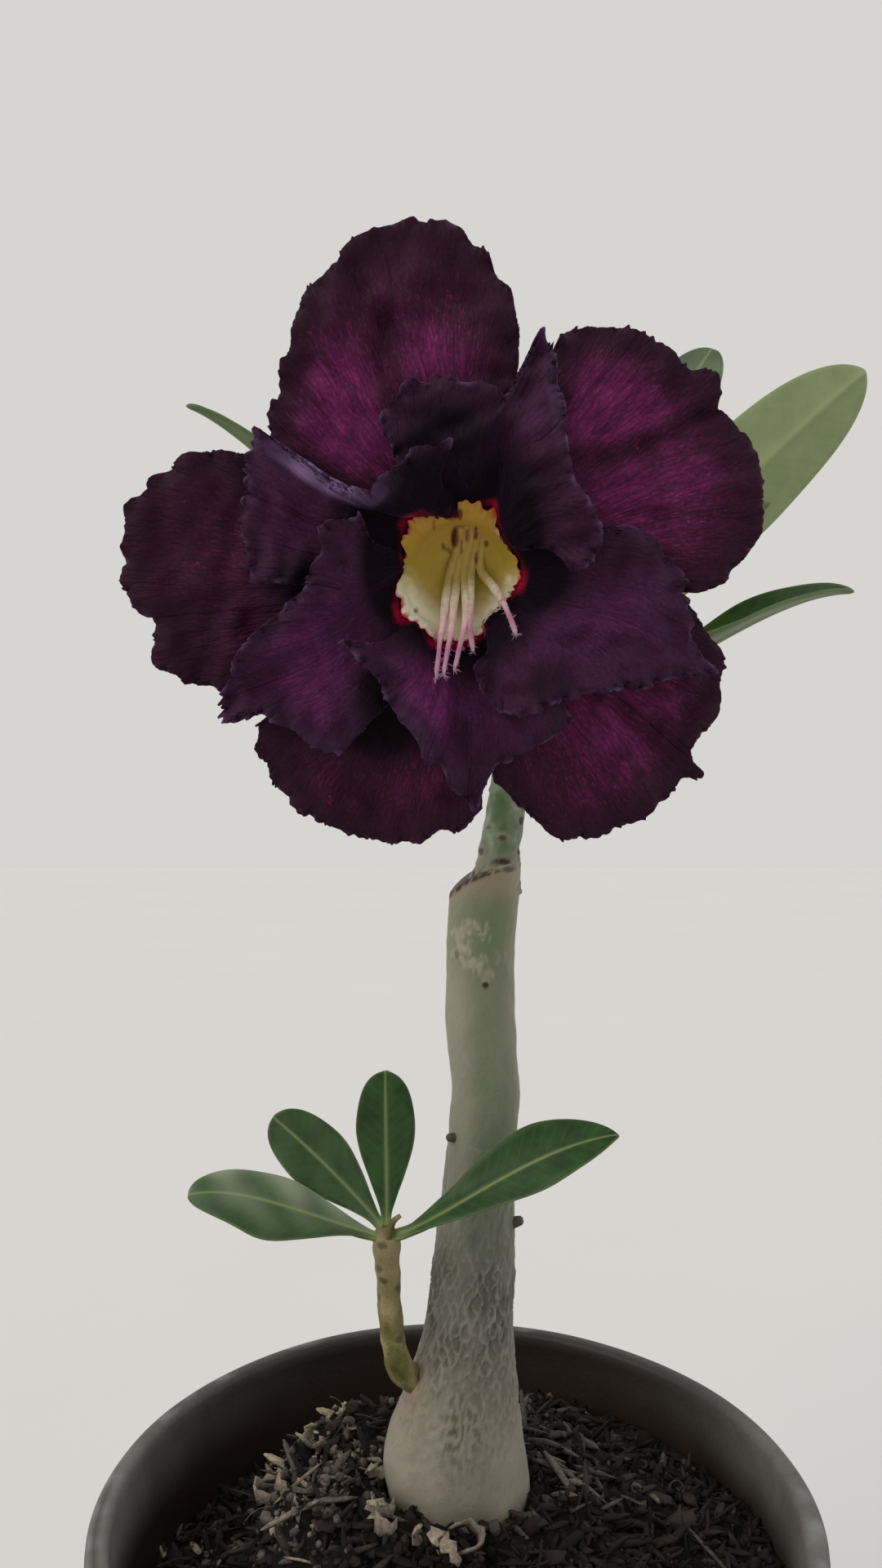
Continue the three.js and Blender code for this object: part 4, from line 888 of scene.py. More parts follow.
crust = [  # pale blotches under the graft: middle x, middle z, half width, half height, strength
    (3.2, 207.5, 1.9, 1.2, 0.9), (4.9, 206.6, 1.0, 1.3, 0.8), (0.6, 206.2, 1.2, 2.2, 0.9),
    (1.6, 204.2, 1.6, 1.5, 1.0), (0.1, 203.1, 1.1, 1.5, 0.8), (2.2, 201.4, 1.8, 1.4, 0.9),
    (4.5, 201.1, 1.7, 1.5, 0.9), (5.4, 199.3, 1.3, 1.0, 0.7), (7.9, 202.3, 1.3, 1.2, 0.35),
    (1.6, 189, 0.8, 6.5, 0.25), (1.8, 183.5, 0.9, 1.6, 0.45), (2.9, 168.3, 0.8, 1.4, 0.4)]


def atHeight(stations, z, column, soften):
    # the stations' straight profile, averaged over a few millimetres so that the outline is smooth
    near = z[..., None] + np.linspace(-soften, soften, 9)
    return np.interp(near, stations[:, 0], stations[:, column]).mean(-1)


def cutLevel(x):
    # the slanted graft cut seen from the front: steep at its low left edge, flatter to the right
    g = graft
    return g["highest"] - g["drop"] * np.exp(-np.maximum(x - g["left"], -1) / g["bend"])


def netOf(angle, z, spot):
    # how far a spot lies from the nearest of two crossing families of slanted, wavering ridges wrapped round
    # the stem, as a share of their pitch
    net = barkNet
    rise = np.interp(z, net["levels"], net["rises"])
    apart = []
    for slant, seed in ((1, 41), (-1, 43)):
        waver = net["waver"] * roughness(spot, 4.5, seed) + net["jitter"] * roughness(spot, 1.7, seed + 1)
        phase = net["columns"] * angle / fullTurn + slant * rise + waver
        apart.append(np.abs(phase % 1 - 0.5))
    return np.minimum(*apart)


def nubShape(place, outward, radius):
    # a short blunt stump on the bark, 1.6 times as long as its radius
    length = 1.6
    outward = unit(np.asarray(outward, float))
    t = np.array([-1.0, -0.3, 0.35, 0.8, 1.0])
    size = radius * np.array([1.25, 1.05, 0.95, 0.8, 0.45])
    side = unit(np.cross([0, 0, 1.0], outward))
    other = np.cross(outward, side)
    angle = anglesRound(14)[:, None]
    circle = np.cos(angle) * side + np.sin(angle) * other
    rings = np.array(place) + outward * (t * length * radius)[:, None, None] + circle * size[:, None, None]
    zero = np.zeros(rings.shape[:2])
    plain = {key: zero for key in ("recess", "callus", "patch", "moss", "green")}
    return tubeShape(rings, {**plain, "height": zero + 0.6, "scab": zero + 0.7})


def makeRootstock():
    # rings up the stem; the bark's net is carved where the base narrows and dies out above and below
    bottom, soilTop, netTop = rootstockStations[0, 0], 102, 158
    z = np.concatenate([
        np.linspace(bottom, soilTop, 9), np.arange(soilTop + 1, netTop, 0.3),
        np.arange(netTop, graft["height"] - 0.2, 0.4), [graft["height"]]])
    zz, aa = np.meshgrid(z, anglesRound(210), indexing="ij")
    middle = atHeight(rootstockStations, z, 1, 2.5)[:, None]
    radius = atHeight(rootstockStations, z, 2, 2.5)[:, None]
    spot = pointsRound(aa, radius, zz * 0.6)
    inCell = netOf(aa, zz, spot)
    ridge = np.interp(zz, [110, 118, 130, 150], [0.24, 0.2, 0.13, 0.1]) * (1 + 0.45 * roughness(spot, 3, 26))
    patchy = ease(roughness(spot, 7, 24), -1.1, 0.7)
    band = ease(zz + 3 * roughness(spot, 9, 25), 111, 138) * (1 - ease(zz, 144, 160))
    shown = band * mixed(0.55, 1, patchy)
    # recess carves the net's hollows and darkens their colour, partly as painted shade
    recess = ease(inCell, ridge * 0.3, ridge * 1.5) * shown
    # upright wrinkles, finer than the net, reach further up and down
    upright = pointsRound(aa, radius, zz * 0.22)
    wrinkles = ease(roughness(upright, 1.2, 45), 0.1, 1.1) * ease(zz, 106, 124) * (1 - ease(zz, 150, 172))
    recess = np.maximum(recess * (0.75 + 0.25 * wrinkles), 0.5 * wrinkles)
    # a cluster of long green pits low on the front
    pits = ease(roughness(upright, 0.95, 47), 0.0, 0.5) * bump(radius * np.cos(aa), 0, 5)
    pits = pits * bump(zz, 122, 8) * ease(-np.sin(aa), 0, 0.5)
    lumps = 0.2 * roughness(spot, 13, 21) + 0.07 * roughness(spot, 4.5, 22) + 0.03 * roughness(spot, 1.6, 23)
    crackle = mixed(0.4, 1, ease(np.abs(roughness(spot, 2.3, 33)), 0.05, 0.4))
    radius = radius + lumps * ease(zz, 100, 106) + barkNet["depth"] * (0.45 * shown - recess - 0.35 * pits)
    recess = np.maximum(recess, pits)
    x, y = middle + radius * np.cos(aa), trunkY + radius * np.sin(aa)
    front = ease(trunkY - y, -1, 2)
    # swollen collar where the side shoot leaves
    a, b, c = shootCollar["middle"]
    collar = np.exp(-((x - a) ** 2 + (y - b) ** 2 + (zz - c) ** 2) / shootCollar["spread"] ** 2)
    x, y = x - shootCollar["swell"][0] * collar, y - shootCollar["swell"][1] * collar
    height = zz + ease(zz, 204, graft["height"]) * (cutLevel(x) - graft["height"])
    wander = [0.6 * roughness(spot, 2.2, seed) + 0.3 * roughness(spot, 0.9, seed + 1) for seed in (34, 37)]
    crusted = front * spotMask(x + wander[0], height + wander[1], crust) * crackle
    # painted light: the left side and the base's sides are lightened with the pale crust colour
    leftLight = 0.3 * ease(middle - x, 0.5, 4.5) * (1 - bump(zz, 138, 14)) * (1 - ease(zz, 196, 210))
    baseLight = 0.4 * ease(np.abs(x - middle), 4, 9) * (1 - ease(zz, 116, 127))
    x, y = x + 0.12 * crusted * np.cos(aa), y + 0.12 * crusted * np.sin(aa)
    points = np.stack([x, y, height], -1)
    # rounded rim and slightly hollow face of the slanted cut
    last = points[-1]
    centre = last.mean(0)
    shrink = [(0.985, 0.25), (0.94, 0.4), (0.8, 0.3), (0.45, 0.1)]
    rims = [centre + (last - centre) * share + [0, 0, rise] for share, rise in shrink]
    cut = cutLevel(x)
    broken = ease(roughness(points, 2.0, 31), -0.6, 0.2)
    onCut = ease(height, cut - 1.0, cut - 0.4) * (1 - ease(x, 4.5, 7.5)) * (0.35 + 0.65 * broken)
    marks = spotMask(x, height, [
        (5.2, 197.7, 0.65, 0.65, 1.0), (5.4, 217.2, 0.9, 0.45, 0.9), (7.3, 217.7, 0.6, 0.4, 0.8),
        (9.4, 218.0, 1.5, 0.6, 0.75), (3.9, 207.1, 0.4, 0.4, 0.5), (0.2, 203.0, 0.5, 0.9, 0.45)])
    thick = mixed(1.0, 4.2, ease(x, -2, 8)) + 0.8 * roughness(spot, 4, 32)
    healing = ease(height, cut - thick - 2.5, cut - thick + 1.5) * (0.2 + 0.5 * front)
    rightEdge = 0.3 * ease(x - middle, 4, 6) * bump(zz, 195, 18)
    greenFront = front * bump(x - middle, 1, 5) * mixed(0.35, 0.75, bump(height, 207, 9))
    values = {
        "height": np.clip((height - 103) / 111.6, 0, 1),
        "recess": np.clip(recess, 0, 1),
        "callus": np.clip(np.maximum(0.8 * healing, 0.75 * collar ** 0.6) + rightEdge, 0, 1),
        "green": greenFront * ease(zz, 145, 165),
        "patch": np.maximum(0.65 * crusted, front * np.maximum(leftLight, baseLight)),
        "scab": np.clip(np.maximum(onCut, front * marks), 0, 1),
        "moss": 0.4 * (1 - ease(height, 105, 109)) * ease(roughness(spot, 4, 35), -0.3, 1.0),
    }
    capped = {k: np.concatenate([v, np.repeat(v[-1:], len(shrink), 0)]) for k, v in values.items()}
    capped["scab"][-len(shrink):] = 0.85 * (1 - ease(np.stack(rims)[..., 0], 5, 8))
    shapes = [tubeShape(np.concatenate([points, np.stack(rims)]), capped)]
    for place, outward, size in (
        ((-0.4, 3.0, 170.1), (-0.75, -0.5, 0.1), 0.85), ((10.6, 4.6, 154.4), (1, -0.15, 0.35), 1.0),
        ((9.9, 4.2, 144.2), (1, -0.2, 0.1), 0.35),
    ):
        shapes.append(nubShape(place, outward, size))
    makePiece("rootstock_bark", joined(shapes), nettedBark(), ["rootstock"])


leafScars = {"count": 11, "first": (0.4, 229), "step": (2.4, 3), "size": (0.4, 0.7)}  # as angle and height


def makeScion():
    # rings up from a foot sunk in the slanted cut; scars of fallen leaves climb the stem in a spiral
    z = np.concatenate([np.arange(scionStations[0, 0], 262.6, 0.35), [262.8, 263]])
    zz, aa = np.meshgrid(z, anglesRound(96), indexing="ij")
    middle = atHeight(scionStations, z, 1, 1.2)[:, None]
    radius = atHeight(scionStations, z, 2, 1.2)[:, None]
    spot = pointsRound(aa, radius, zz)
    spiral = np.zeros(zz.shape)
    first, step, size = (leafScars[key] for key in ("first", "step", "size"))
    for k in range(leafScars["count"]):
        across = wrapped(aa - first[0] - step[0] * k) / size[0]
        upward = (zz - first[1] - step[1] * k) / size[1]
        spiral = np.maximum(spiral, 1 - ease(np.hypot(across, upward), 0.55, 1.0))
    lumpy = mixed(1, 0.3, ease(zz, 218, 224))
    lumps = 0.35 * roughness(spot, 4, 51) + 0.15 * roughness(spot, 1.7, 52)
    radius = radius + lumpy * lumps + 0.16 * spiral
    x, y = middle + radius * np.cos(aa), trunkY + radius * np.sin(aa)
    height = zz + graft["slope"] * (1 - ease(zz, graft["height"], 222)) * (x - middle)
    front = ease(trunkY - y, -1, 1)
    scars = [
        (8.6, 219.2, 1.3, 0.6, 1.0), (7.2, 219.5, 0.5, 0.35, 0.8), (8.3, 223.4, 0.9, 0.5, 0.9),
        (4.6, 220.9, 0.5, 0.8, 0.8), (11.4, 220.9, 0.5, 0.7, 0.9), (11.8, 226.4, 0.6, 0.9, 1.0),
        (5.9, 225.2, 0.5, 0.4, 0.7)]
    around = [(a, b + 0.3, 1.7 * w, 1.9 * h, 0.7 * s) for a, b, w, h, s in scars]
    above = height - cutLevel(x)
    foot = 1 - ease(above, 0.5, 4.5)
    crumbs = ease(roughness(spot, 1.8, 53), 0.1, 0.8) * (1 - ease(above, 0.6, 2.2)) * (1 - ease(x, 7, 9))
    scarred = np.maximum(front * spotMask(x, height, scars), 0.6 * spiral)
    values = {
        "scab": np.clip(np.maximum(scarred, 0.8 * crumbs), 0, 1),
        "corky": np.clip(np.maximum(0.75 * foot, front * spotMask(x, height, around)), 0, 1),
    }
    shape = tubeShape(np.stack([x, y, height], -1), values)
    makePiece("scion_bark", shape, youngGreenBark(), ["scion_stem"])


def stemShape(path, radiusAt, rows, sides, lumps=0.0, seed=0, values=None):
    # rings square to a path, radius from a function of the share of its length
    share = np.linspace(0, 1, rows)
    middle = atShare(path, share)
    tangent = unit(np.gradient(middle, axis=0))
    sideways = unit(np.cross([0.0, 1.0, 0.0], tangent))
    other = np.cross(tangent, sideways)
    angle = anglesRound(sides)
    radius = np.broadcast_to(np.reshape(radiusAt(share), (-1, 1)), (rows, sides))
    if lumps:
        around = np.stack([np.cos(angle) + 0 * share[:, None], np.sin(angle) + 0 * share[:, None]], -1)
        spot = np.concatenate([around * 2, middle[:, None, 2:] * 0.6 + 0 * around[..., :1]], -1)
        radius = radius + lumps * roughness(spot, 1.6, seed)
    circle = np.cos(angle)[:, None] * sideways[:, None] + np.sin(angle)[:, None] * other[:, None]
    rings = middle[:, None] + radius[..., None] * circle
    given = {k: np.broadcast_to(v(share[:, None], angle), (rows, sides)) for k, v in (values or {}).items()}
    return tubeShape(rings, given)


def steady(level):
    # one value all over a stem
    return lambda share, angle: level + 0 * share * angle


sideShoot = {
    "path": [
        (-4.5, 5, 126.6), (-7.2, 3.2, 127.2), (-9.3, 1.4, 129.4), (-10.7, -0.4, 134), (-11.5, -2, 142),
        (-11.8, -3.1, 149), (-12.1, -4.1, 156.6)],
    "bud": [(-11.6, -5.4, 155.4), (-10.9, -6, 158.2), (-9.6, -6.3, 159.6)],
    "scars": 22,
}


def makeSideShoot():
    # a stem along its path, ringed here and there, swollen at the foot and under the leaves, with leaf scars
    # all over and a bud
    rng = np.random.default_rng(61)
    n = sideShoot["scars"]
    ranges = ((0.12, 0.95), (0, fullTurn), (0.5, 1))  # share of the length, angle, strength
    marks = np.column_stack([rng.uniform(low, high, n) for low, high in ranges])

    def scarred(share, angle):
        mask = 0 * share * angle
        for at, turn, strength in marks:
            away = np.hypot((share - at) / 0.022, wrapped(angle - turn) / 0.5)
            mask = np.maximum(mask, strength * (1 - ease(away, 0.5, 1.1)))
        return np.clip(0.8 * mask + 0.35 * ease(share, 0.95, 1.0), 0, 1)

    def radiusAt(share):
        rings = ((0.12, 0.4, 0.02), (0.16, 0.58, 0.03), (0.15, 0.78, 0.03))
        ringed = sum(rise * bump(share, at, wide) for rise, at, wide in rings)
        tapered = mixed(2.7, 2.0, np.minimum(1, 2.4 * share))
        return tapered + 0.4 * bump(share, 0.93, 0.09) - 0.6 * ease(share, 0.96, 1) + ringed

    values = {"scab": scarred, "height": lambda share, angle: ease(share, 0.4, 0.95) + 0 * angle}
    stem = stemShape(smoothPath(sideShoot["path"]), radiusAt, 140, 56, 0.11, 62, values)
    plain = {"scab": steady(0.4), "height": steady(0)}
    bud = stemShape(smoothPath(sideShoot["bud"]), lambda t: mixed(0.75, 0.4, t), 14, 16, 0.04, 63, plain)
    makePiece("side_shoot_bark", joined([stem, bud]), oliveShootBark(), ["side_shoot"])


makeRootstock()
makeScion()
makeSideShoot()
print("stems made")


# A leaf's midrib runs from its root past two bend points to its tip, and its upper side looks towards face;
# cup lifts its sides, pointed, shoulder and widens shape its outline, belly widens one side, twist turns its
# tip in radians, and film says how strong its painted grey sheen is, the side setting on which side more
leafGrid = {"rows": 64, "columns": 33, "thickness": 0.7}


def leafShape(leaf):
    # a blade along a Bezier midrib: half width grows past the middle and closes round the tip, the sides cup
    # upwards, the edge waves and the whole blade may twist
    rows, columns = leafGrid["rows"], leafGrid["columns"]
    width = leaf["width"]
    share = (1 - (1 - np.linspace(0, 1, rows)) ** 1.5)[:, None]
    path = bezierPath(leaf["root"], leaf["bend"], leaf["tip"])
    middle = atShare(path, share[:, 0])
    tangent = unit(np.gradient(middle, axis=0))
    side = unit(np.cross(leaf["face"], tangent))
    turn = leaf.get("twist", 0) * share
    side = side * np.cos(turn) + np.cross(tangent, side) * np.sin(turn)
    normal = np.cross(tangent, side)
    v = np.sin(np.linspace(-1, 1, columns) * math.pi / 2)[None]
    widening = ease(share, *leaf.get("widens", (-0.12, 0.68)))
    closing = np.maximum(0, 1 - share ** leaf.get("shoulder", 5.5)) ** leaf.get("pointed", 0.7)
    half = width / 2 * np.maximum(widening * closing, mixed(0.13, 0.02, share))
    belly = 1 + leaf.get("belly", 0) * ease(v, -0.2, 0.4) * bump(share, 0.57, 0.28)
    offset = half * v * belly
    ripple = 0.5 * v * v * np.sin(9 * share + 1.7 * v) * (2 * half / width)
    fine = 0.12 * v * v * np.sin(23 * share + 4 * v)
    groove = -0.35 * np.exp(-(offset / 0.7) ** 2) * (1 - 0.7 * share)
    lift = leaf.get("cup", 0.25) * half * np.abs(v) ** 1.6 + ripple + fine * ease(half, 1, 3) + groove
    grid = middle[:, None] + side[:, None] * offset[..., None] + normal[:, None] * lift[..., None]
    inward = 1 - np.abs(v)
    thickness = leafGrid["thickness"] * (0.35 + 0.65 * ease(inward * half, 0, 0.8)) + 0 * offset
    length = np.linalg.norm(np.diff(path, axis=0), axis=1).sum()
    ribHalf = mixed(0.62, 0.2, share ** 0.6) * leaf.get("ribWidth", 1.0)
    spot = np.stack([offset, share * length + 0 * offset], -1)
    ribbed = np.exp(-(offset / ribHalf) ** 2) * 0.7 + 0.65 * (1 - ease(share, 0.0, 0.1))
    # film: the strength of a painted grey sheen, more on one side
    sheened = leaf.get("film", 0) * (1 + 0.4 * roughness(spot, 9, 57)) * (1 + leaf.get("sheenSide", 0) * v)
    values = {
        "rib": np.clip(ribbed, 0, 1),
        # a thin painted highlight along the margin
        "edge": 0.25 * (1 - ease(inward * half, 0.0, 0.3)) + 0 * share,
        "film": np.clip(sheened, 0, 1),
        "yellowed": leaf.get("yellowed", 0) * ease(roughness(spot, 12, 58), -0.6, 1.0),
    }
    ribDepth = mixed(0.85, 0.12, share) * np.exp(-(offset / 0.8) ** 2)
    uv = np.stack([offset / 20, share * length / 20 + 0 * offset], -1)
    return bladeShape(grid, thickness, values, ribDepth, uv)


shootLeaves = {
    "shoot_leaf_left": {
        "root": (-12.6, -4.6, 155.6), "bend": [(-21, -7, 157.9), (-36, -8, 166.2)],
        "tip": (-45.4, -7.5, 163.4), "width": 10.2, "face": (0.1, -0.62, 0.78), "cup": 0.2, "pointed": 0.55,
        "belly": 0.55, "film": 0.36, "sheenSide": -0.9},
    "shoot_leaf_upper_left": {
        "root": (-12.4, -3.7, 156.4), "bend": [(-17.5, -2, 161.8), (-24.5, 0.4, 168)],
        "tip": (-32.3, 1.5, 174.1), "width": 11.4, "face": (0.3, -0.92, 0.25), "cup": 0.18, "pointed": 0.5,
        "shoulder": 6, "film": 0.08},
    "shoot_leaf_top": {
        "root": (-12, -3.7, 156.6), "bend": [(-12, -2.4, 165), (-12.3, -1.5, 176)],
        "tip": (-12.3, -2, 183.1), "width": 10.6, "face": (0.05, -1, 0.1), "cup": 0.12, "pointed": 0.5,
        "shoulder": 6.5},
    "shoot_leaf_right": {
        "root": (-11, -5, 155.8), "bend": [(-3, -8.6, 158.6), (12, -10, 172.6)], "tip": (27.2, -9.5, 174.3),
        "width": 12.4, "face": (-0.2, -0.72, 0.66), "cup": 0.3, "pointed": 0.85, "widens": (-0.1, 0.75)},
}
scionLeaves = {
    "scion_leaf_large": {
        "root": (15.6, 7.8, 249), "bend": [(34, 10, 268), (56, 9, 294)], "tip": (74.0, 6, 307.6),
        "width": 19.5, "face": (-0.05, 0.98, 0.08), "cup": 0.12, "pointed": 0.6, "shoulder": 7,
        "ribWidth": 1.6},
    "scion_leaf_rounded": {
        "root": (13.8, 9.8, 256), "bend": [(22, 14, 272), (37, 16, 298)], "tip": (48.6, 15, 315.0),
        "width": 18.5, "face": (-0.5, -0.75, 0.4), "cup": 0.12, "pointed": 0.5, "shoulder": 8, "film": 0.26},
    "scion_leaf_curled": {
        "root": (15.8, 4.2, 245.5), "bend": [(32, 0, 247), (52, -6, 266.4)], "tip": (67, -8, 265.6),
        "width": 12, "face": (-0.12, 0.1, 1), "cup": 0.4, "twist": 0.5, "yellowed": 0.4},
    "scion_leaf_short": {
        "root": (15.9, 4.6, 254), "bend": [(26, 2, 260), (42, -3, 272)], "tip": (53.5, -6, 281),
        "width": 13, "face": (-0.4, 0.2, 0.9), "cup": 0.2},
    "scion_leaf_hooked": {
        "root": (8.2, 7.8, 252), "bend": [(-7, 9, 265), (-36.5, 6, 298)], "tip": (-47, -1, 299.2),
        "width": 11, "face": (0.5, -0.1, 0.8), "cup": 0.4, "film": 0.12},
    "scion_leaf_back_left": {
        "root": (9.8, 9.4, 247), "bend": [(0, 22, 256), (-14, 42, 278)], "tip": (-22, 56, 284),
        "width": 18, "face": (0.35, -0.55, 0.75), "cup": 0.2, "film": 0.12},
    "scion_leaf_back": {
        "root": (12.6, 10.4, 250.5), "bend": [(14, 24, 262), (16, 44, 290)], "tip": (17, 60, 300),
        "width": 20, "face": (0, -0.75, 0.65), "cup": 0.2, "pointed": 0.5, "film": 0.12},
    "scion_leaf_back_right": {
        "root": (14.4, 9.4, 243), "bend": [(26, 20, 250), (42, 42, 266)], "tip": (52, 54, 266),
        "width": 18, "face": (-0.35, -0.45, 0.82), "cup": 0.25, "film": 0.12},
}


def makeLeaves():
    deep = waxyLeaf("waxyLeafDeep", "#183210", "#28481c", "#566741", "#61724c", "#7c8a5a")
    pale = waxyLeaf("waxyLeafPale", "#33502a", "#3f6036", "#78875c", "#838f68", "#9aa379")
    for leaves in (shootLeaves, scionLeaves):
        for name, leaf in leaves.items():
            skin, slotName = (pale, "leaf_pale") if name == "scion_leaf_large" else (deep, "leaf_green")
            makePiece(name.replace("_leaf_", "_blade_"), leafShape(leaf), skin, [name])
    print("leaves made")


makeLeaves()


# The bloom is worked out in its own frame: X to the right, Y up and Z towards whoever looks into the throat.
# A lobe spans an arc of the throat's ring in degrees. Its margin knots run anticlockwise as degrees, distance
# from the throat's middle and height, and tip is the number of the knot at its tip. Glows are bright magenta
# spots and the dark spots are painted shadows (X, Y, half width, half height, strength), creases are
# folded-in lines that are also dimmed as painted shade (from, to, half width, depth) and rolls bend the edge
# forwards or back, the backward ones getting a painted highlight strip (X, Y, reach, amount, width).
bloom = {"centre": (-0.3, -54.5, 259.7), "nod": math.radians(10.2), "tubeLength": 46, "frontLimit": 66.4}
outerLobes = {
    "outer_petal_top": {
        "arc": (66, 142), "tip": 6, "arch": 0.6, "knots": [
            (74, 27, -1), (78, 33.5, -1.8), (85, 39.5, -2.8), (91, 43, -3.4), (97, 44.2, -3.6),
            (104, 44, -3.6), (110, 43.6, -3.4), (112, 41.2, -3.2), (118, 40.5, -3), (131, 34, -2),
            (147, 29.5, -1)],
        "glows": [
            (-17.5, 19, 7, 9, 1.45), (-14, 14, 6, 5, 0.6), (-2.5, 27.5, 8, 4.5, 0.8),
            (-19, 28, 4, 5, 0.25)],
        "creases": [
            ((-15.4, 40.5), (-9.4, 31), 1.3, 1.5), ((-9.4, 31), (-8.6, 21), 1.8, 1.4),
            ((3, 36), (1, 24), 2, 0.3)]},
    "outer_petal_right": {
        "arc": (-8, 68), "tip": 5, "arch": 0.6, "knots": [
            (-4, 29.5, -1.2), (-3, 32.5, -1.6), (4, 38, -2.8), (14, 40.5, -3.2), (25, 41, -3.4),
            (32, 39.6, -3.2), (37, 40.8, -3.2), (50, 38, -2.8), (60, 36, -2.2), (67, 32, -1.2)],
        "glows": [
            (19, 20, 7.5, 8, 0.9), (15.5, 29, 5, 6, 0.5), (23, 6, 8.5, 6.5, 0.85), (33, 12, 8, 8, 0.5),
            (27, 27, 8, 6, 0.35)],
        "creases": [
            ((33.5, 21.2), (24, 16.5), 1.1, 1.3), ((24, 16.5), (14, 13.6), 1.8, 1.1),
            ((38, 7), (20, 8.5), 2, 0.4)]},
    "outer_petal_low_right": {
        "arc": (-84, -6), "tip": 5, "arch": 0.5, "knots": [
            (-80, 28, -1.2), (-74, 32, -1.8), (-69, 37.5, -2.4), (-60, 40, -2.8), (-50, 41, -3),
            (-42, 40.6, -2.8), (-38.6, 42.2, -2.2), (-36.6, 39.2, -2.6), (-25, 38.5, -2.2),
            (-16, 35.5, -1.8), (-6, 30, -1.2)],
        "glows": [
            (20, -19, 11, 6, 0.5), (11, -27, 6.5, 7.5, 0.4), (28, -14, 7.5, 7.5, 0.4),
            (17, -31, 8, 4, 0.4), (26, -25, 5, 5, 0.35)],
        "creases": [((31, -25), (16, -13), 1.6, 0.7), ((17, -35), (9, -19), 1.8, 0.6)]},
    "outer_petal_low_left": {
        "arc": (208, 282), "tip": 3, "arch": 0.5, "base": 0.16, "knots": [
            (216, 33, -1.2), (223, 36, -1.8), (234, 37.5, -2.4), (247, 37.8, -2.8), (258, 37, -2.8),
            (264, 34.6, -2.4), (270, 34, -2.2), (276, 31, -1.2)],
        "glows": [
            (-11, -27.5, 10, 5, 0.36), (-20, -28, 6, 5, 0.32), (-3, -27, 5, 5, 0.3),
            (-12, -35, 10, 3, 0.3)],
        "shadowSpots": [(-10.5, -19.5, 6.5, 5.5, 1.0), (-14, -27, 3.5, 4, 0.45)],
        "creases": [((-13.5, -36), (-8, -20), 1.6, 0.7), ((-24, -28), (-12, -16), 1.8, 0.5)]},
    "outer_petal_left": {
        "arc": (144, 214), "tip": 5, "arch": 0.6, "base": 0.07, "knots": [
            (150, 30, -1.2), (152, 33, -1.4), (155, 37, -2), (162, 41, -2.6), (168, 43.5, -3),
            (180, 44.4, -3.2), (186.5, 42.6, -2.6), (188.4, 40.6, -2.8), (196, 41.5, -2.4),
            (202, 37.5, -1.8), (208, 33, -1.2)],
        "glows": [
            (-33, 8, 8, 8, 0.16), (-27, 2, 6, 6, 0.3), (-36, -6, 8, 6.5, 0.18), (-28, -11, 6, 7, 0.26)],
        "shadowSpots": [(-21, -0.5, 3.5, 3.5, 1.0), (-34, -8, 4, 4, 0.4)],
        "creases": [((-42, -6), (-24, -1), 1.5, 1.2), ((-38, 14), (-24, 7), 2, 0.6)]},
}
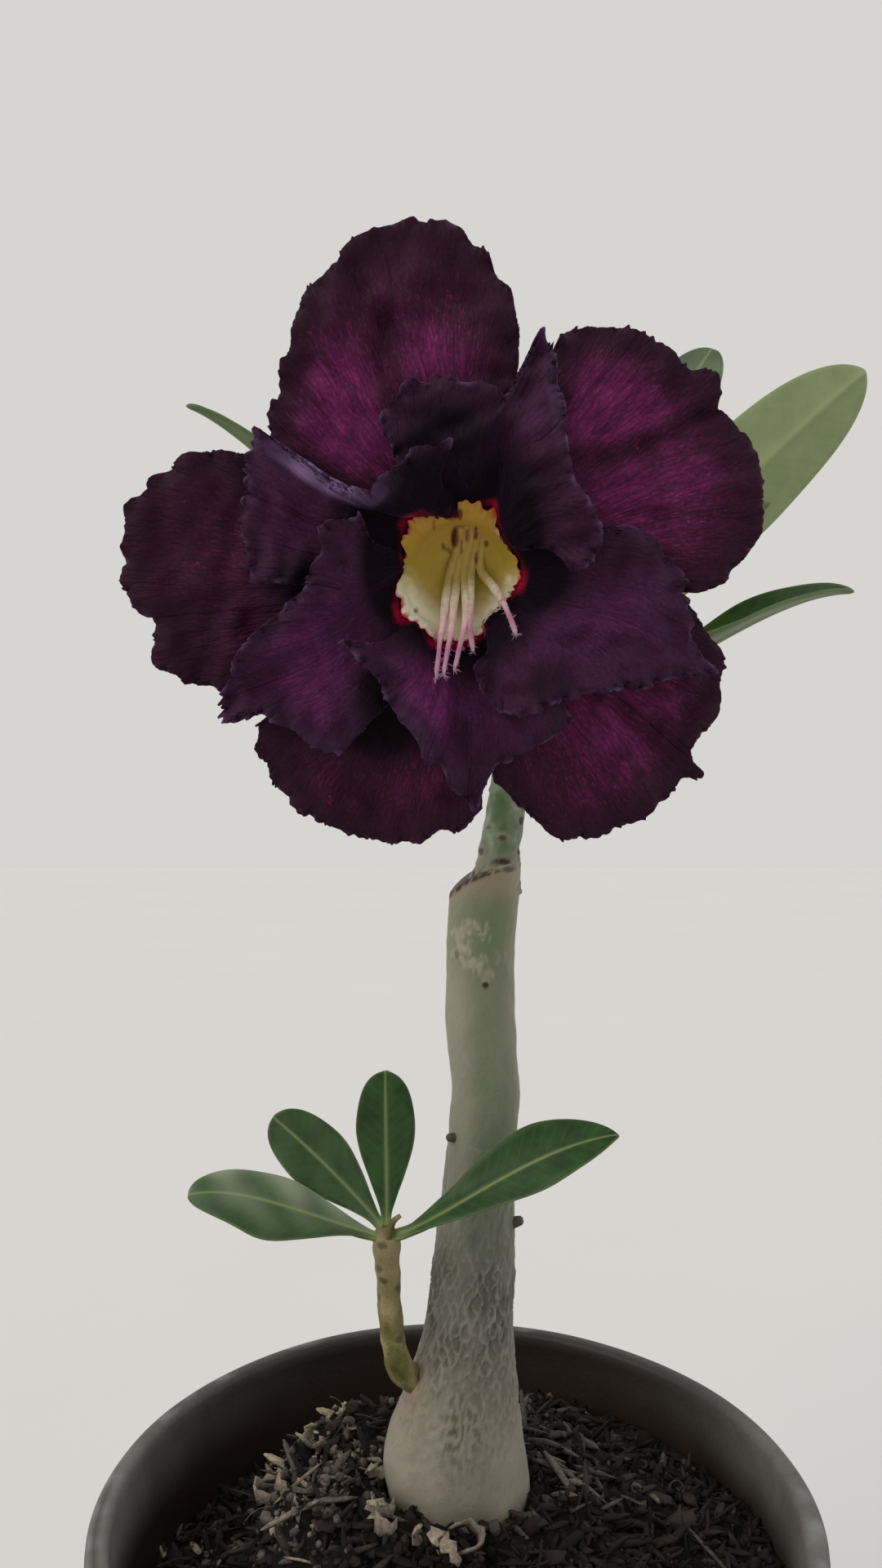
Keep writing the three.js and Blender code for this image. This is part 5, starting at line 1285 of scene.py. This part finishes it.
innerLobes = {
    "inner_petal_upper_left": {
        "arc": (98, 164), "tip": 6, "arch": 1.4, "base": 0.26, "knots": [
            (93, 16.2, 8.6), (106, 15.6, 9), (123, 15, 9), (138, 15.4, 8.2), (143.4, 20, 7.4),
            (144, 24.5, 6.4), (144.4, 30.4, 5), (153, 29, 4.2), (162, 28, 3.6), (175, 27, 3.2),
            (182, 26, 2.8), (181, 21.6, 2.4)],
        "glows": [(-25, 8.5, 4.5, 6, 0.35), (-19, 9, 4, 4, 0.2)],
        "shadowSpots": [(-11, 5, 5, 7, 1.0), (-20, -0.5, 4, 3, 0.9), (-3, 11, 7, 5, 1.0)],
        "creases": [((-24, 16), (-12, 7), 2.2, 0.8)],
        "rolls": [
            (-23, 17.0, 3, -1.2, 2.0), (-18.4, 13.8, 3.4, -3.2, 2.9), (-14.4, 11.2, 3.2, -2.6, 2.6),
            (-5, 15, 4, 0.9, 1.6), (-26, 5, 6, -0.8, 2.5)]},
    "inner_petal_top": {
        "arc": (26, 98), "tip": 6, "arch": 1.6, "base": 0.18, "knots": [
            (2, 14, 8.2), (8, 16.5, 9.2), (19, 18, 9.6), (34, 17.5, 9.2), (46, 19, 8.6), (59, 24, 7.4),
            (71, 31.4, 6), (73.6, 26.5, 5.6), (75.4, 22.8, 5.4), (86, 23, 5), (98, 24, 4.4),
            (108, 23.2, 3.6), (116, 22.4, 3), (119, 18.4, 2.4)],
        "glows": [(9.5, 19, 3.5, 5, 0.35), (15, 4, 3, 4, 0.2)],
        "shadowSpots": [(4.5, 9, 8, 8, 1.0), (-1, 16, 8, 7, 0.8)],
        "creases": [((9.6, 26), (4, 10), 1.6, 1.3), ((-3, 22.5), (0, 10), 2.2, 0.8)],
        "rolls": [
            (17.5, 6.5, 3.5, 1.6, 1.8), (14.8, 10.5, 4, 1.3, 1.8), (12.5, 20.5, 5, -1.2, 2.2),
            (-8, 21.5, 4, 0.8, 1.8), (16.5, 2, 3, -1.0, 1.8)]},
    "inner_petal_right": {
        "arc": (-64, 28), "tip": 6, "arch": 1.4, "knots": [
            (-81, 11, 7.4), (-77, 15.6, 8.6), (-68, 18.4, 8.8), (-59, 19, 8.4), (-46, 20.5, 7.8),
            (-32, 26, 6.6), (-20.2, 34.8, 5), (-13, 30, 4.4), (1, 28, 3.8), (12, 24.5, 3.2),
            (20, 19, 2.4)],
        "glows": [(22, -5, 8, 5, 0.3), (15, -10, 6, 5, 0.25), (26, -1, 5, 5, 0.2)],
        "shadowSpots": [(11, 0, 4.5, 5, 1.0), (11, -13, 3.5, 3, 0.55)],
        "creases": [((27, 4), (12, -2), 2.0, 1.0), ((31, -11), (12, -7), 1.8, 0.9)],
        "rolls": [
            (24, -14, 6, -0.9, 2.0), (3, -13, 4, 1.2, 1.6), (6, -17.5, 4, 0.8, 1.6),
            (26, 4, 6, -1.0, 2.4)]},
    "inner_petal_low": {
        "arc": (224, 298), "tip": 5, "arch": 1.4, "knots": [
            (208, 16.4, 8), (224, 16, 8.8), (236, 17, 8.4), (250, 20, 7.4), (262, 23.5, 6.4),
            (274, 30.8, 4.6), (280, 25.5, 4.4), (289, 24, 3.8), (300, 24.4, 3.2), (309, 23, 2.6)],
        "glows": [(-2, -17, 4.5, 6, 1.05), (-7, -13, 4, 5, 0.55), (8, -19.5, 4, 4, 0.65)],
        "shadowSpots": [(1.5, -12, 3, 3, 0.7)],
        "creases": [((1.5, -28), (-1, -11), 1.6, 1.3), ((10, -21), (3, -11), 1.8, 0.8)],
        "rolls": [
            (-14, -7.6, 3, 1.2, 1.6), (-10.5, -11.8, 4, 1.0, 1.6), (-6, -19, 5, -1.2, 2.2),
            (8, -23, 5, -0.8, 2)]},
    "inner_petal_left": {
        "arc": (160, 230), "tip": 6, "arch": 1.2, "knots": [
            (149, 13.6, 8), (159, 17.4, 8.6), (175, 17.6, 8.4), (185, 19.6, 7.4), (193, 24, 6.4),
            (199, 29.4, 5.2), (210, 35.8, 4), (217, 30, 3.8), (226, 29, 3.4), (235, 28, 2.8),
            (238, 23, 2.4)],
        "glows": [(-21, -9, 6, 6, 1.1), (-18.5, -16.5, 4, 5, 0.6), (-16.5, 0, 4, 6, 0.4)],
        "shadowSpots": [(-9.6, 1.5, 3, 7, 1.0), (-10, -15, 3.5, 5, 1.0)],
        "creases": [((-28, -14), (-12, -5), 1.8, 1.1), ((-17, 3), (-10, -1), 2, 0.6)],
        "rolls": [
            (-17, 5, 4, 0.9, 1.6), (-20, -2, 4, -0.9, 1.8), (-26, -8, 5, 0.8, 1.6),
            (-16, -23, 6, -1.2, 2.4)]},
}
outerStyle = {
    "ring": 8.9, "ringHeight": -0.9, "thickness": 0.5, "rows": 46, "halfColumns": 130, "swell": 0.7,
    "ripple": 0.28, "furrow": 0.12, "frill": 0.4, "frillWidth": 1.6, "tooth": 0.6, "toothPitch": 1.5,
    "uneven": 0.36, "blush": 0, "edgeLight": 0.15, "blackened": (0.5, 6.0), "sway": 0.6, "base": 0.26,
}
innerStyle = {
    "offRim": 0.35, "ringHeight": 1.5, "thickness": 0.5, "rows": 46, "halfColumns": 130, "swell": 1.1,
    "ripple": 0.4, "furrow": 0.08, "frill": 0.7, "frillWidth": 1.5, "tooth": 1.0, "toothPitch": 1.9,
    "uneven": 0.4, "blush": 1, "edgeLight": 0.22, "blackened": (0.3, 4.0), "sway": 1.8, "base": 0.32,
}
blushSpots = [  # degrees round the throat, half width in degrees, strength
    (213, 16, 1.0), (250, 12, 1.0), (270, 16, 0.9), (-72, 12, 0.8), (60, 12, 0.9), (-8, 17, 1.0),
    (137, 9, 0.85)]
throat = {
    "frill": [  # degrees and distance from the middle, round the torn yellow rim
        (-268, 6.9), (-263, 7.0), (-249, 7.4), (-239, 8.9), (-224, 9.0), (-211, 8.2), (-198, 7.3),
        (-188, 6.8), (-176, 7.5), (-157, 8.1), (-143, 8.7), (-134, 7.6), (-123, 8.0), (-112, 8.6),
        (-100, 8.1), (-84, 7.9), (-69, 7.5), (-62, 6.3), (-49, 5.9), (-32, 6.2), (-16, 6.8), (-5, 7.2),
        (12, 7.7), (21, 7.4), (36, 6.8), (54, 7.6), (63, 9.3), (74, 9.0), (91, 8.8)],
    "strokes": [  # reddish brown marks: X, Y, half width, half height, strength
        (-0.5, 4.9, 0.55, 1.5, 1.0), (0.1, 7.6, 0.4, 0.7, 0.9), (1.05, 5.2, 0.3, 0.9, 0.9),
        (2.2, 5.4, 0.3, 1.0, 0.9), (2.3, 2.3, 0.25, 1.0, 0.9), (3.6, 4.1, 0.3, 0.5, 0.8),
        (-2.0, 3.7, 0.3, 0.5, 0.7), (-1.3, 3.4, 0.25, 0.5, 0.7), (-5.5, -4.4, 0.35, 0.35, 0.8),
        (0.4, 3.6, 0.2, 1.2, 0.7), (-3.2, 6.4, 0.25, 0.8, 0.5)],
    "knobs": [
        (-3.1, -6.9, 0.6, 0.9, 0.9), (-7.0, 1.0, 0.7, 0.6, 0.7), (4.8, 5.2, 0.6, 0.6, 0.7),
        (-5.6, -6.1, 0.5, 0.5, 0.7), (1.9, -7.2, 0.6, 0.5, 0.7), (6.4, -2.4, 0.5, 0.6, 0.6)],
    "threads": [  # each down the hollow's upper wall, over the lip and to its free end
        [(0.3, 6.3, -2.2), (-0.2, 3.4, -3.9), (-1.1, 0.2, -3.4), (-1.6, -2.7, -0.6), (-2.0, -5.3, 2.4),
         (-2.5, -8.8, 5.2), (-2.9, -12.5, 7.9)],
        [(1.1, 6.5, -2.2), (0.6, 3.4, -3.8), (-0.2, 0, -3.2), (-0.6, -3.4, 0.4), (-1.1, -7.2, 4.4),
         (-1.6, -9.7, 6.2), (-2.0, -12.1, 8.0)],
        [(1.9, 6.5, -2.2), (1.4, 3.4, -3.8), (0.7, 0.2, -3.2), (0.9, -2.7, -0.4), (0.8, -5.3, 2.6),
         (0.1, -8.5, 5.3), (-0.7, -11.5, 7.7)],
        [(2.7, 6.3, -2.2), (2.2, 3.4, -3.9), (1.6, 0.2, -3.3), (1.5, -3.4, 0.3), (1.3, -6.2, 3.6),
         (1.7, -9.3, 6.2)],
        [(3.5, 6, -2.4), (3.1, 3.4, -3.9), (2.9, 0.8, -3.4), (4.4, -1.3, -0.8), (5.5, -3.2, 2.6),
         (6.2, -5, 5.6), (6.9, -7.1, 8.3)]],
    "threadRadius": 0.36, "hairs": 60,
}


def placed(points):
    # from the bloom's own frame to the plant's
    n = bloom["nod"]
    u, v, c = points[..., 0], points[..., 1], points[..., 2]
    turned = np.stack([u, -v * math.sin(n) - c * math.cos(n), v * math.cos(n) - c * math.sin(n)], -1)
    return turned + np.array(bloom["centre"])


def heldBack(grid):
    # bends whatever would stand too far forward back to the bloom's front limit, softly
    soft = 0.5
    n = bloom["nod"]
    limit = (bloom["frontLimit"] + bloom["centre"][1] - grid[..., 1] * math.sin(n)) / math.cos(n) - 0.35
    grid[..., 2] = limit - soft * np.logaddexp(0, (limit - grid[..., 2]) / soft)
    return grid


def frillRadius(degrees):
    # distance of the throat's torn rim from its middle
    knots = np.array(throat["frill"], float)
    return np.interp(degrees, knots[:, 0], knots[:, 1], period=360)


def redness(degrees, lowest, widening):
    # how red the ring round the throat is in each direction
    red = lowest
    for toward, wide, strength in blushSpots:
        red = np.maximum(red, strength * bump(wrapped(degrees - toward, 360), 0, widening * wide))
    return red


def lobeMargin(lobe, style, seed):
    # the smooth line through the knots, pushed out and in by irregular teeth about toothPitch apart
    n, tip = style["halfColumns"], lobe["tip"]
    rng = np.random.default_rng(seed)
    degrees, reach, rise = np.array(lobe["knots"], float).T
    knots = pointsRound(np.radians(degrees), reach, rise)
    even = np.linspace(0, 1, n + 1)
    beforeTip, afterTip = (atShare(smoothPath(part), even) for part in (knots[:tip + 1], knots[tip:]))
    margin = np.vstack([beforeTip, afterTip[1:]])
    turn = mixed(*lobe["arc"], np.linspace(0, 1, 2 * n + 1))
    ring = frillRadius(turn) + style["offRim"] if "offRim" in style else style["ring"]
    start = pointsRound(np.radians(turn), ring, style["ringHeight"])
    run = runAlong(margin)
    phase = run / style["toothPitch"] + 0.9 * np.sin(0.7 * run + seed) + 0.35 * np.sin(2.1 * run)
    size = rng.uniform(0.1, 1, 97)[np.floor(phase).astype(int) % 97] ** 2
    teeth = size * (1 - np.abs(2 * (phase % 1) - 1)) - 0.25
    waver = roughness(run[:, None], 7, seed + 1)
    outward = unit(margin - start)
    return margin + outward * (style["tooth"] * teeth + style["uneven"] * waver)[:, None], start


def lobeShape(lobe, style, seed):
    # a fan of rays from an arc of the throat's ring to the margin, arched along each ray; swells, ripples and
    # radial furrows are added to its height, creases taken away, and the edge is frilled and rolled
    margin, start = lobeMargin(lobe, style, seed)
    rows, columns = style["rows"], len(margin)
    share = (1 - (1 - np.linspace(0, 1, rows)) ** 1.35)[:, None]
    across = np.linspace(0, 1, columns)[None]
    grid = mixed(start[None], margin[None], share[..., None])
    ray = unit(margin - start)[None]
    bent = style["sway"] * np.sin(math.pi * share) ** 2
    grid[..., 0] -= bent * ray[..., 1]
    grid[..., 1] += bent * ray[..., 0]
    spot = grid[..., :2].copy()
    reach = np.linalg.norm(spot, axis=-1)
    turn = np.arctan2(spot[..., 1], spot[..., 0])
    edge = np.concatenate([spot[:, 0], spot[-1], spot[::-1, -1]])
    apart = ((spot[:, :, None] - edge) ** 2).sum(-1)
    nearest = apart.argmin(-1)
    inward = np.sqrt(np.take_along_axis(apart, nearest[..., None], -1)[..., 0])
    height = lobe["arch"] * 4 * share * (1 - share) + 0 * across
    height += style["swell"] * ease(share, 0.25, 0.9) * roughness(spot, 12, seed + 2)
    height += style["ripple"] * ease(share, 0.15, 0.6) * roughness(spot, 4.6, seed + 3)
    radial = pointsRound(turn, 16, 0.3 * reach)
    height += style["furrow"] * ease(share, 0.02, 0.3) * roughness(radial, 1.5, seed + 4)
    edgeRun = runAlong(edge)
    frill = roughness(edgeRun[:, None], 3.4, seed + 5) + 0.5 * roughness(edgeRun[:, None], 1.5, seed + 6)
    height += style["frill"] * frill[nearest] * np.clip(1 - inward / style["frillWidth"], 0, 1) ** 1.5
    # a margin rolled back gets a pale strip: painted highlight
    rolledHighlight = 0 * height
    for x, y, wide, amount, width in lobe.get("rolls", ()):
        along = bump(np.hypot(edge[:, 0] - x, edge[:, 1] - y), 0, wide)[nearest]
        height += amount * along * np.clip(1 - inward / width, 0, 1) ** 2
        strip = 1 - ease(inward, 0.55 * width, 0.85 * width)
        rolledHighlight = np.maximum(rolledHighlight, along * ease(-amount, 1, 2.2) * strip)
    # creases fold the petal in and dim its magenta along the fold: painted shade
    creaseShade = 0 * height
    for a, b, width, depth in lobe["creases"]:
        a, b = np.array(a, float), np.array(b, float)
        t = ((spot - a) @ (b - a)) / ((b - a) @ (b - a))
        away = np.linalg.norm(spot - a - np.clip(t, 0, 1)[..., None] * (b - a), axis=-1)
        fold = bump(away, 0, width) * (1 - 0.7 * ease(t, 0.2, 1))
        height -= depth * fold
        creaseShade = np.maximum(creaseShade, min(depth, 1) * fold)
    grid[..., 2] += height
    glow = lobe.get("base", style["base"]) * ease(inward, 1, 8)
    for x, y, wide, tall, strength in lobe["glows"]:
        glow = glow + strength * np.exp(-((spot[..., 0] - x) / wide) ** 2 - ((spot[..., 1] - y) / tall) ** 2)
    # dark spots where shadow falls between the petals: painted shadow
    paintedShadow = spotMask(spot[..., 0], spot[..., 1], lobe["shadowSpots"], 0.35, 1.3) if "shadowSpots" in lobe else 0
    blush = redness(np.degrees(turn), 0.15, 1)
    offRim = reach - frillRadius(np.degrees(turn))
    ragged = ease(roughness(edgeRun[:, None], 5, seed + 7), -0.4, 1.2) * ease(np.hypot(*edge.T), 12, 15)
    # a thin painted highlight along the ragged margin
    edgeHighlight = style["edgeLight"] * (1 - ease(inward, 0.1, 0.45))
    # deep: near-black by the throat, partly own colour and partly painted shade, plus the painted shadow
    # spots
    values = {
        "glow": np.clip(glow, 0, 1.1) * ease(inward, *style["blackened"]) * (1 - 0.75 * creaseShade),
        "deep": np.clip(0.85 * (1 - ease(reach, 9.5, 13)) + paintedShadow, 0, 0.95),
        "blush": style["blush"] * blush * (1 - ease(offRim, 0.6, mixed(0.6, 1.6, blush))),
        "edge": np.maximum(0.75 * rolledHighlight, edgeHighlight * ragged[nearest]),
    }
    steps = np.linalg.norm(np.diff(grid, axis=0), axis=-1)
    lengthwise = np.concatenate([np.zeros((1, columns)), np.cumsum(steps, 0)])
    uv = np.stack([across + 0 * share, lengthwise / 40], -1)
    thickness = style["thickness"] * (0.4 + 0.6 * ease(inward, 0, 0.9))
    return bladeShape(placed(heldBack(grid)), thickness, values, 0, uv)


def tubeRise(depth):
    # how far the tube's middle rises behind the mouth
    return 0.28 * depth - 0.0022 * depth * depth


# the throat's wall and its hollow, as depth and radius
liningStations = np.array([(0.2, 7), (4, 6.9), (9, 6.4), (15, 5.6), (22, 4.5), (30, 3.4)])
hollowStations = np.array([
    (0.2, 7), (0.8, 6.6), (2, 5.8), (3.2, 4.5), (4, 3.2), (4.5, 1.6), (5, 0.5), (30, 0.4)])


def liningRadius(depth):
    return np.interp(depth, liningStations[:, 0], liningStations[:, 1])


def tubeRings(radii, depths, sides):
    # rings square to the bloom's axis, about the tube's rising middle
    angle = anglesRound(sides)
    r, d = np.reshape(radii, (-1, 1)), np.reshape(depths, (-1, 1))
    return np.stack([r * np.cos(angle), tubeRise(d) + r * np.sin(angle), -d + 0 * angle], -1)


def makeTube():
    # the flower tube: up the outside from the stalk, over the flange that the outer lobes join, and down the
    # inside, as depths behind the mouth and their radii
    wall, lining, gap, sides, ribs, ribHeight = 0.8, 0.7, 0.35, 96, 10, 0.1
    back = np.linspace(30, 4, 27)
    inner = liningRadius(back) + lining + gap
    outerDepths = np.concatenate([[46, 45.7, 42, 38, 34], back, [2.4, 1.3, 0.7, 0.5]])
    outerRadii = np.concatenate([[1.6, 2.2, 2.35, 2.5, 3.3], inner + wall, [9.0, 9.7, 9.8, 9.4]])
    depths = np.concatenate([outerDepths, [0.5], back[::-1], [31.4]])
    radii = np.concatenate([outerRadii, [8.05], inner[::-1], [3.6]])
    rings = tubeRings(radii, depths, sides)
    onOutside = (np.arange(len(radii)) < len(outerRadii))[:, None]
    ribbed = ribHeight * np.cos(ribs * anglesRound(sides)) * onOutside
    middle = rings.mean(1, keepdims=True)
    rings = middle + (rings - middle) * (1 + ribbed[..., None] / 8)
    shape = tubeShape(placed(rings), {"upper": np.zeros(rings.shape[:2])})
    shape["uv"] = np.zeros((len(shape["points"]), 2))
    return shape


def makePetals():
    outer = velvetPetal(
        "velvetPetalOuter", "#2e1525", "#48193a", "#76275d", "#983772", "#8c2740", "#3f1c33",
            "#5b3a5e", 0.06)
    inner = velvetPetal(
        "velvetPetalInner", "#371c34", "#4b2043", "#6b285c", "#803a70", "#5c2c52", "#38203a",
            "#8a6f9a", 0.12)
    for whorl, style, material, slotName, node, seed in (
        (outerLobes, outerStyle, outer, "outer_petal", "corolla_outer", 71),
        (innerLobes, innerStyle, inner, "inner_petal", "corolla_inner", 171),
    ):
        for k, (name, lobe) in enumerate(whorl.items()):
            makePiece(name, lobeShape(lobe, style, seed + 10 * k), material, [node])
    makePiece("flower_tube", makeTube(), outer, ["corolla_outer"])
    print("petals made")


def makeThroat():
    # lining: closed bottom, up inside the tube's wall, over the torn rim and back down the hollow
    sides, deepest, hollowRun, lining, back = 360, 30, 29.4, 0.65, 0.45
    angle = anglesRound(sides)
    circle = np.stack([8 * np.cos(angle), 8 * np.sin(angle)], -1)
    degrees = np.degrees(angle)
    rim = frillRadius(degrees) + 0.3 * roughness(circle, 2.4, 91) + 0.18 * roughness(circle, 1.1, 92)
    hollow = deepest - hollowRun * np.linspace(0, 1, 70) ** 0.5
    inside = tubeRings(np.interp(hollow, hollowStations[:, 0], hollowStations[:, 1]), hollow, sides)
    flare = np.linspace(0.06, 1, 26)[:, None]
    radius = mixed(7.0, rim, flare ** 1.2)
    rise = 2.5 + 0.9 * ease(-np.sin(angle), 0.1, 0.9) + 0.35 * roughness(circle, 4.5, 93)
    heights = mixed(-0.4, rise, flare ** 0.8) + 0.22 * roughness(circle, 1.6, 94) * ease(flare, 0.4, 1)
    lip = pointsRound(angle, radius, heights)
    behind = np.stack([lip[..., 0] * 1.012, lip[..., 1] * 1.012, heights - back], -1)
    outDepths = np.linspace(1.5, deepest, 16)
    outside = tubeRings(liningRadius(outDepths) + lining, outDepths, sides)
    rings = np.concatenate([tubeRings([3.0], [31.0], sides), outside[::-1], behind, lip[::-1], inside[::-1]])
    start, middle, end = np.cumsum([1 + len(outside), len(behind), len(lip)])
    lipShare = np.zeros(rings.shape[:2])
    lipShare[start:middle] = flare
    lipShare[middle:end] = flare[::-1]
    x, y, z = rings[..., 0], rings[..., 1], rings[..., 2]
    reddest = redness(degrees, 0.35, 1.4)
    torn = ease(roughness(circle, 1.3, 95) + 0.8 * roughness(circle, 0.5, 89), -0.9, 0.8)
    facing = ease(z, -11, -8)
    brow = 2.2 * (1 - np.clip(x / 5.8, -1.1, 1.1) ** 2) + 0.35 * roughness(np.stack([x, y], -1), 1.5, 98)
    # the pale cream on the lower lip is painted light from above
    values = {
        "cream": ease(-y - brow, -1.4, 3.6) * ease(z, -4.6, -0.6),
        "ochre": ease(y, 1.5, 6) + 0 * angle,
        "stroke": spotMask(x, y, throat["strokes"]) * facing,
        "rim": ease(lipShare, mixed(0.9, 0.42, torn * reddest), 1.0) * (0.25 + 0.75 * reddest),
        "knob": spotMask(x, y, throat["knobs"]) * ease(lipShare, 0.2, 0.6),
    }
    makePiece("throat", tubeShape(placed(rings), values), yellowThroat(), ["throat_lining"])


def makeThreads():
    # the anthers' cone in the tube, and the feathery threads, which run down the hollow and hang over the rim
    def axis(depth):
        return np.array([0.2, tubeRise(depth) + 0.2, -depth])

    def coneRadius(t):
        return 2.0 * (1 - t ** 3) ** 0.8 * (1 - 0.3 * t) + 0.8 * t

    def threadRadius(t):
        return throat["threadRadius"] * (1.6 - 0.75 * ease(t, 0.45, 0.85)) * (1 - 0.6 * ease(t, 0.95, 1))

    def hairRadius(t):
        return mixed(0.06, 0.02, t)

    def rising(start, gain):
        return lambda share, angle: start + gain * share + 0 * angle

    def stroked(shape):
        points = shape["points"]
        shape["values"]["stroke"] = spotMask(points[:, 0], points[:, 1], throat["strokes"])
        return shape

    path = smoothPath([axis(12), axis(8), (0.9, 2.4, -5.4), (0.7, 0.6, -4.4)])
    cone = stroked(stemShape(path, coneRadius, 60, 70, values={"tipward": rising(0, 0.22)}))
    cone["points"][:, 2] += 0.2 * np.cos(fullTurn * cone["points"][:, 0] / 0.8)
    shapes = [cone]
    rng = np.random.default_rng(96)
    for i, knots in enumerate(throat["threads"]):
        path = smoothPath(knots)
        thick = stemShape(path, threadRadius, 90, 12, 0.05, 97 + i, {"tipward": rising(0.05, 0.95)})
        shapes.append(stroked(thick))
        # fine hairs stand off the outer half and fray its end
        for at in 1 - 0.5 * rng.uniform(0, 1, throat["hairs"]) ** 1.6:
            foot = atShare(path, at)
            way = unit(rng.normal(size=3) + [0, -0.7, 0.4])
            hair = foot + way * np.array([[0], [0.6], [1]]) * rng.uniform(0.5, 1.0)
            plain = {"tipward": steady(0.95), "stroke": steady(0)}
            shapes.append(stemShape(hair, hairRadius, 3, 3, values=plain))
    whole = joined(shapes)
    whole["points"] = placed(whole["points"])
    makePiece("anthers_and_threads", whole, hairyThread(), ["stamens"])


def makeCalyx():
    # a short cup round the tube's foot with five pointed sepals
    length, sepals = bloom["tubeLength"], 5
    front, back = length - 3.6, length - 0.2
    corners = [  # radius and depth
        (2.55, back), (3.1, back), (3.5, back - 1.5), (3.8, front), (3.6, front - 0.3), (2.8, front),
        (2.75, front + 0.6)]
    radii, depths = zip(*corners)
    rings = tubeRings(radii, depths, 48)
    rows, sides = rings.shape[:2]
    closed = np.concatenate([rings, rings[:1]])
    cup = {
        "points": rings.reshape(-1, 3),
        "quads": gridQuads(len(closed), sides, True) % (rows * sides),
        "tris": np.empty((0, 3), int),
        "values": {"flush": np.zeros(rows * sides)},
    }
    shapes = [cup]
    share = np.linspace(0, 1, 22)[:, None]
    v = np.linspace(-1, 1, 11)[None]
    for k in range(sepals):
        turn = fullTurn * (k + 0.25) / sepals
        outward = np.array([math.cos(turn), math.sin(turn), 0])
        sideways = np.array([-math.sin(turn), math.cos(turn), 0])
        depth = length - 1.6 - 9 * share
        half = mixed(1.9, 0.2, share ** 1.6)
        reach = mixed(3.25, 6.2, share ** 1.3) - 0.35 * v * v * (1 - share) + 0.1 * np.sin(8 * share + k)
        middle = np.stack([0 * depth, tubeRise(depth), -depth], -1)
        grid = middle + outward * reach[..., None] + sideways * (half * v)[..., None]
        shapes.append(bladeShape(grid, 0.5, {"flush": ease(share, 0.55, 1) + 0 * v}))
    whole = joined(shapes)
    whole["points"] = placed(whole["points"])
    makePiece("calyx_cup_and_sepals", whole, downyGreen(), ["calyx"])


def makeStalk():
    # a short stalk from the scion's top, over and down into the tube's foot
    length = bloom["tubeLength"]
    top = np.array([12.2, trunkY, 263])
    end = placed(np.array([0, tubeRise(length), -length - clearance]))
    behind = placed(np.array([0.6, tubeRise(length) + 0.5, -length - 7]))
    path = smoothPath([top + [0, 0, clearance], top + [-0.2, 0, 4], top + [-3.5, -1, 10], behind, end])
    values = {"flush": lambda share, angle: 0.4 * bump(share, 0.5, 0.3) + 0 * angle}
    stalk = stemShape(path, lambda t: 1.5 + 1.1 * ease(t, 0.82, 1), 70, 32, 0.06, 99, values)
    makePiece("bloom_stalk", stalk, downyGreen(), ["flower_stalk"])


makePetals()
makeThroat()
makeThreads()
makeCalyx()
makeStalk()
print("bloom made")


studio = {
    "floorSize": 6, "floorDrop": 0.4,  # metres across; millimetres below the pot's foot
    "air": "#d7d5d2", "airStrength": 1.0,
    "suns": {  # where the light comes from, how strong, how wide and its colour
        "windowLeft": ((-0.75, -0.45, 0.7), 1.35, 50, "#fff9f0"),
        "windowRight": ((0.85, -0.15, 0.3), 0.45, 60, "#f6f4ff"),
        "skylight": ((0.1, 0.5, 0.9), 0.3, 80, "#ffffff"),
    },
    "eye": (-2.6, -202.5, 233), "lens": 26.5, "film": 36,  # millimetres, like the camera's own numbers
    "nearest": 0.005, "farthest": 20,  # metres
}


def makeStage():
    half = studio["floorSize"] / 2
    drop = -studio["floorDrop"] * metresPerMm
    mesh = bpy.data.meshes.new("floor")
    corners = [(-half, -half, drop), (half, -half, drop), (half, half, drop), (-half, half, drop)]
    mesh.from_pydata(corners, [], [(0, 1, 2, 3)])
    mesh.materials.append(mattFloorPaint())
    floor = bpy.data.objects.new("floor", mesh)
    bpy.context.scene.collection.objects.link(floor)
    world = bpy.data.worlds.new("paleRoom")
    bpy.context.scene.world = world
    world.use_nodes = True
    backdrop = world.node_tree.nodes["Background"]
    backdrop.inputs["Color"].default_value = linear(studio["air"])
    backdrop.inputs["Strength"].default_value = studio["airStrength"]
    for name, (come, strength, degrees, colour) in studio["suns"].items():
        sun = bpy.data.lights.new(name, "SUN")
        sun.energy = strength
        sun.angle = math.radians(degrees)
        sun.color = linear(colour)[:3]
        holder = bpy.data.objects.new(name, sun)
        bpy.context.scene.collection.objects.link(holder)
        holder.location = come
        x, y, z = come
        holder.rotation_euler = (math.atan2(math.hypot(x, y), z), 0, math.atan2(x, -y))


def makeCamera():
    lens = bpy.data.cameras.new("photoCamera")
    lens.lens, lens.sensor_width = studio["lens"], studio["film"]
    lens.clip_start, lens.clip_end = studio["nearest"], studio["farthest"]
    eye = bpy.data.objects.new("photoCamera", lens)
    bpy.context.scene.collection.objects.link(eye)
    eye.location = np.array(studio["eye"]) * metresPerMm
    eye.rotation_euler = (math.pi / 2, 0, 0)
    bpy.context.scene.camera = eye


makeStage()
makeCamera()
bpy.context.scene.view_settings.view_transform = "Standard"
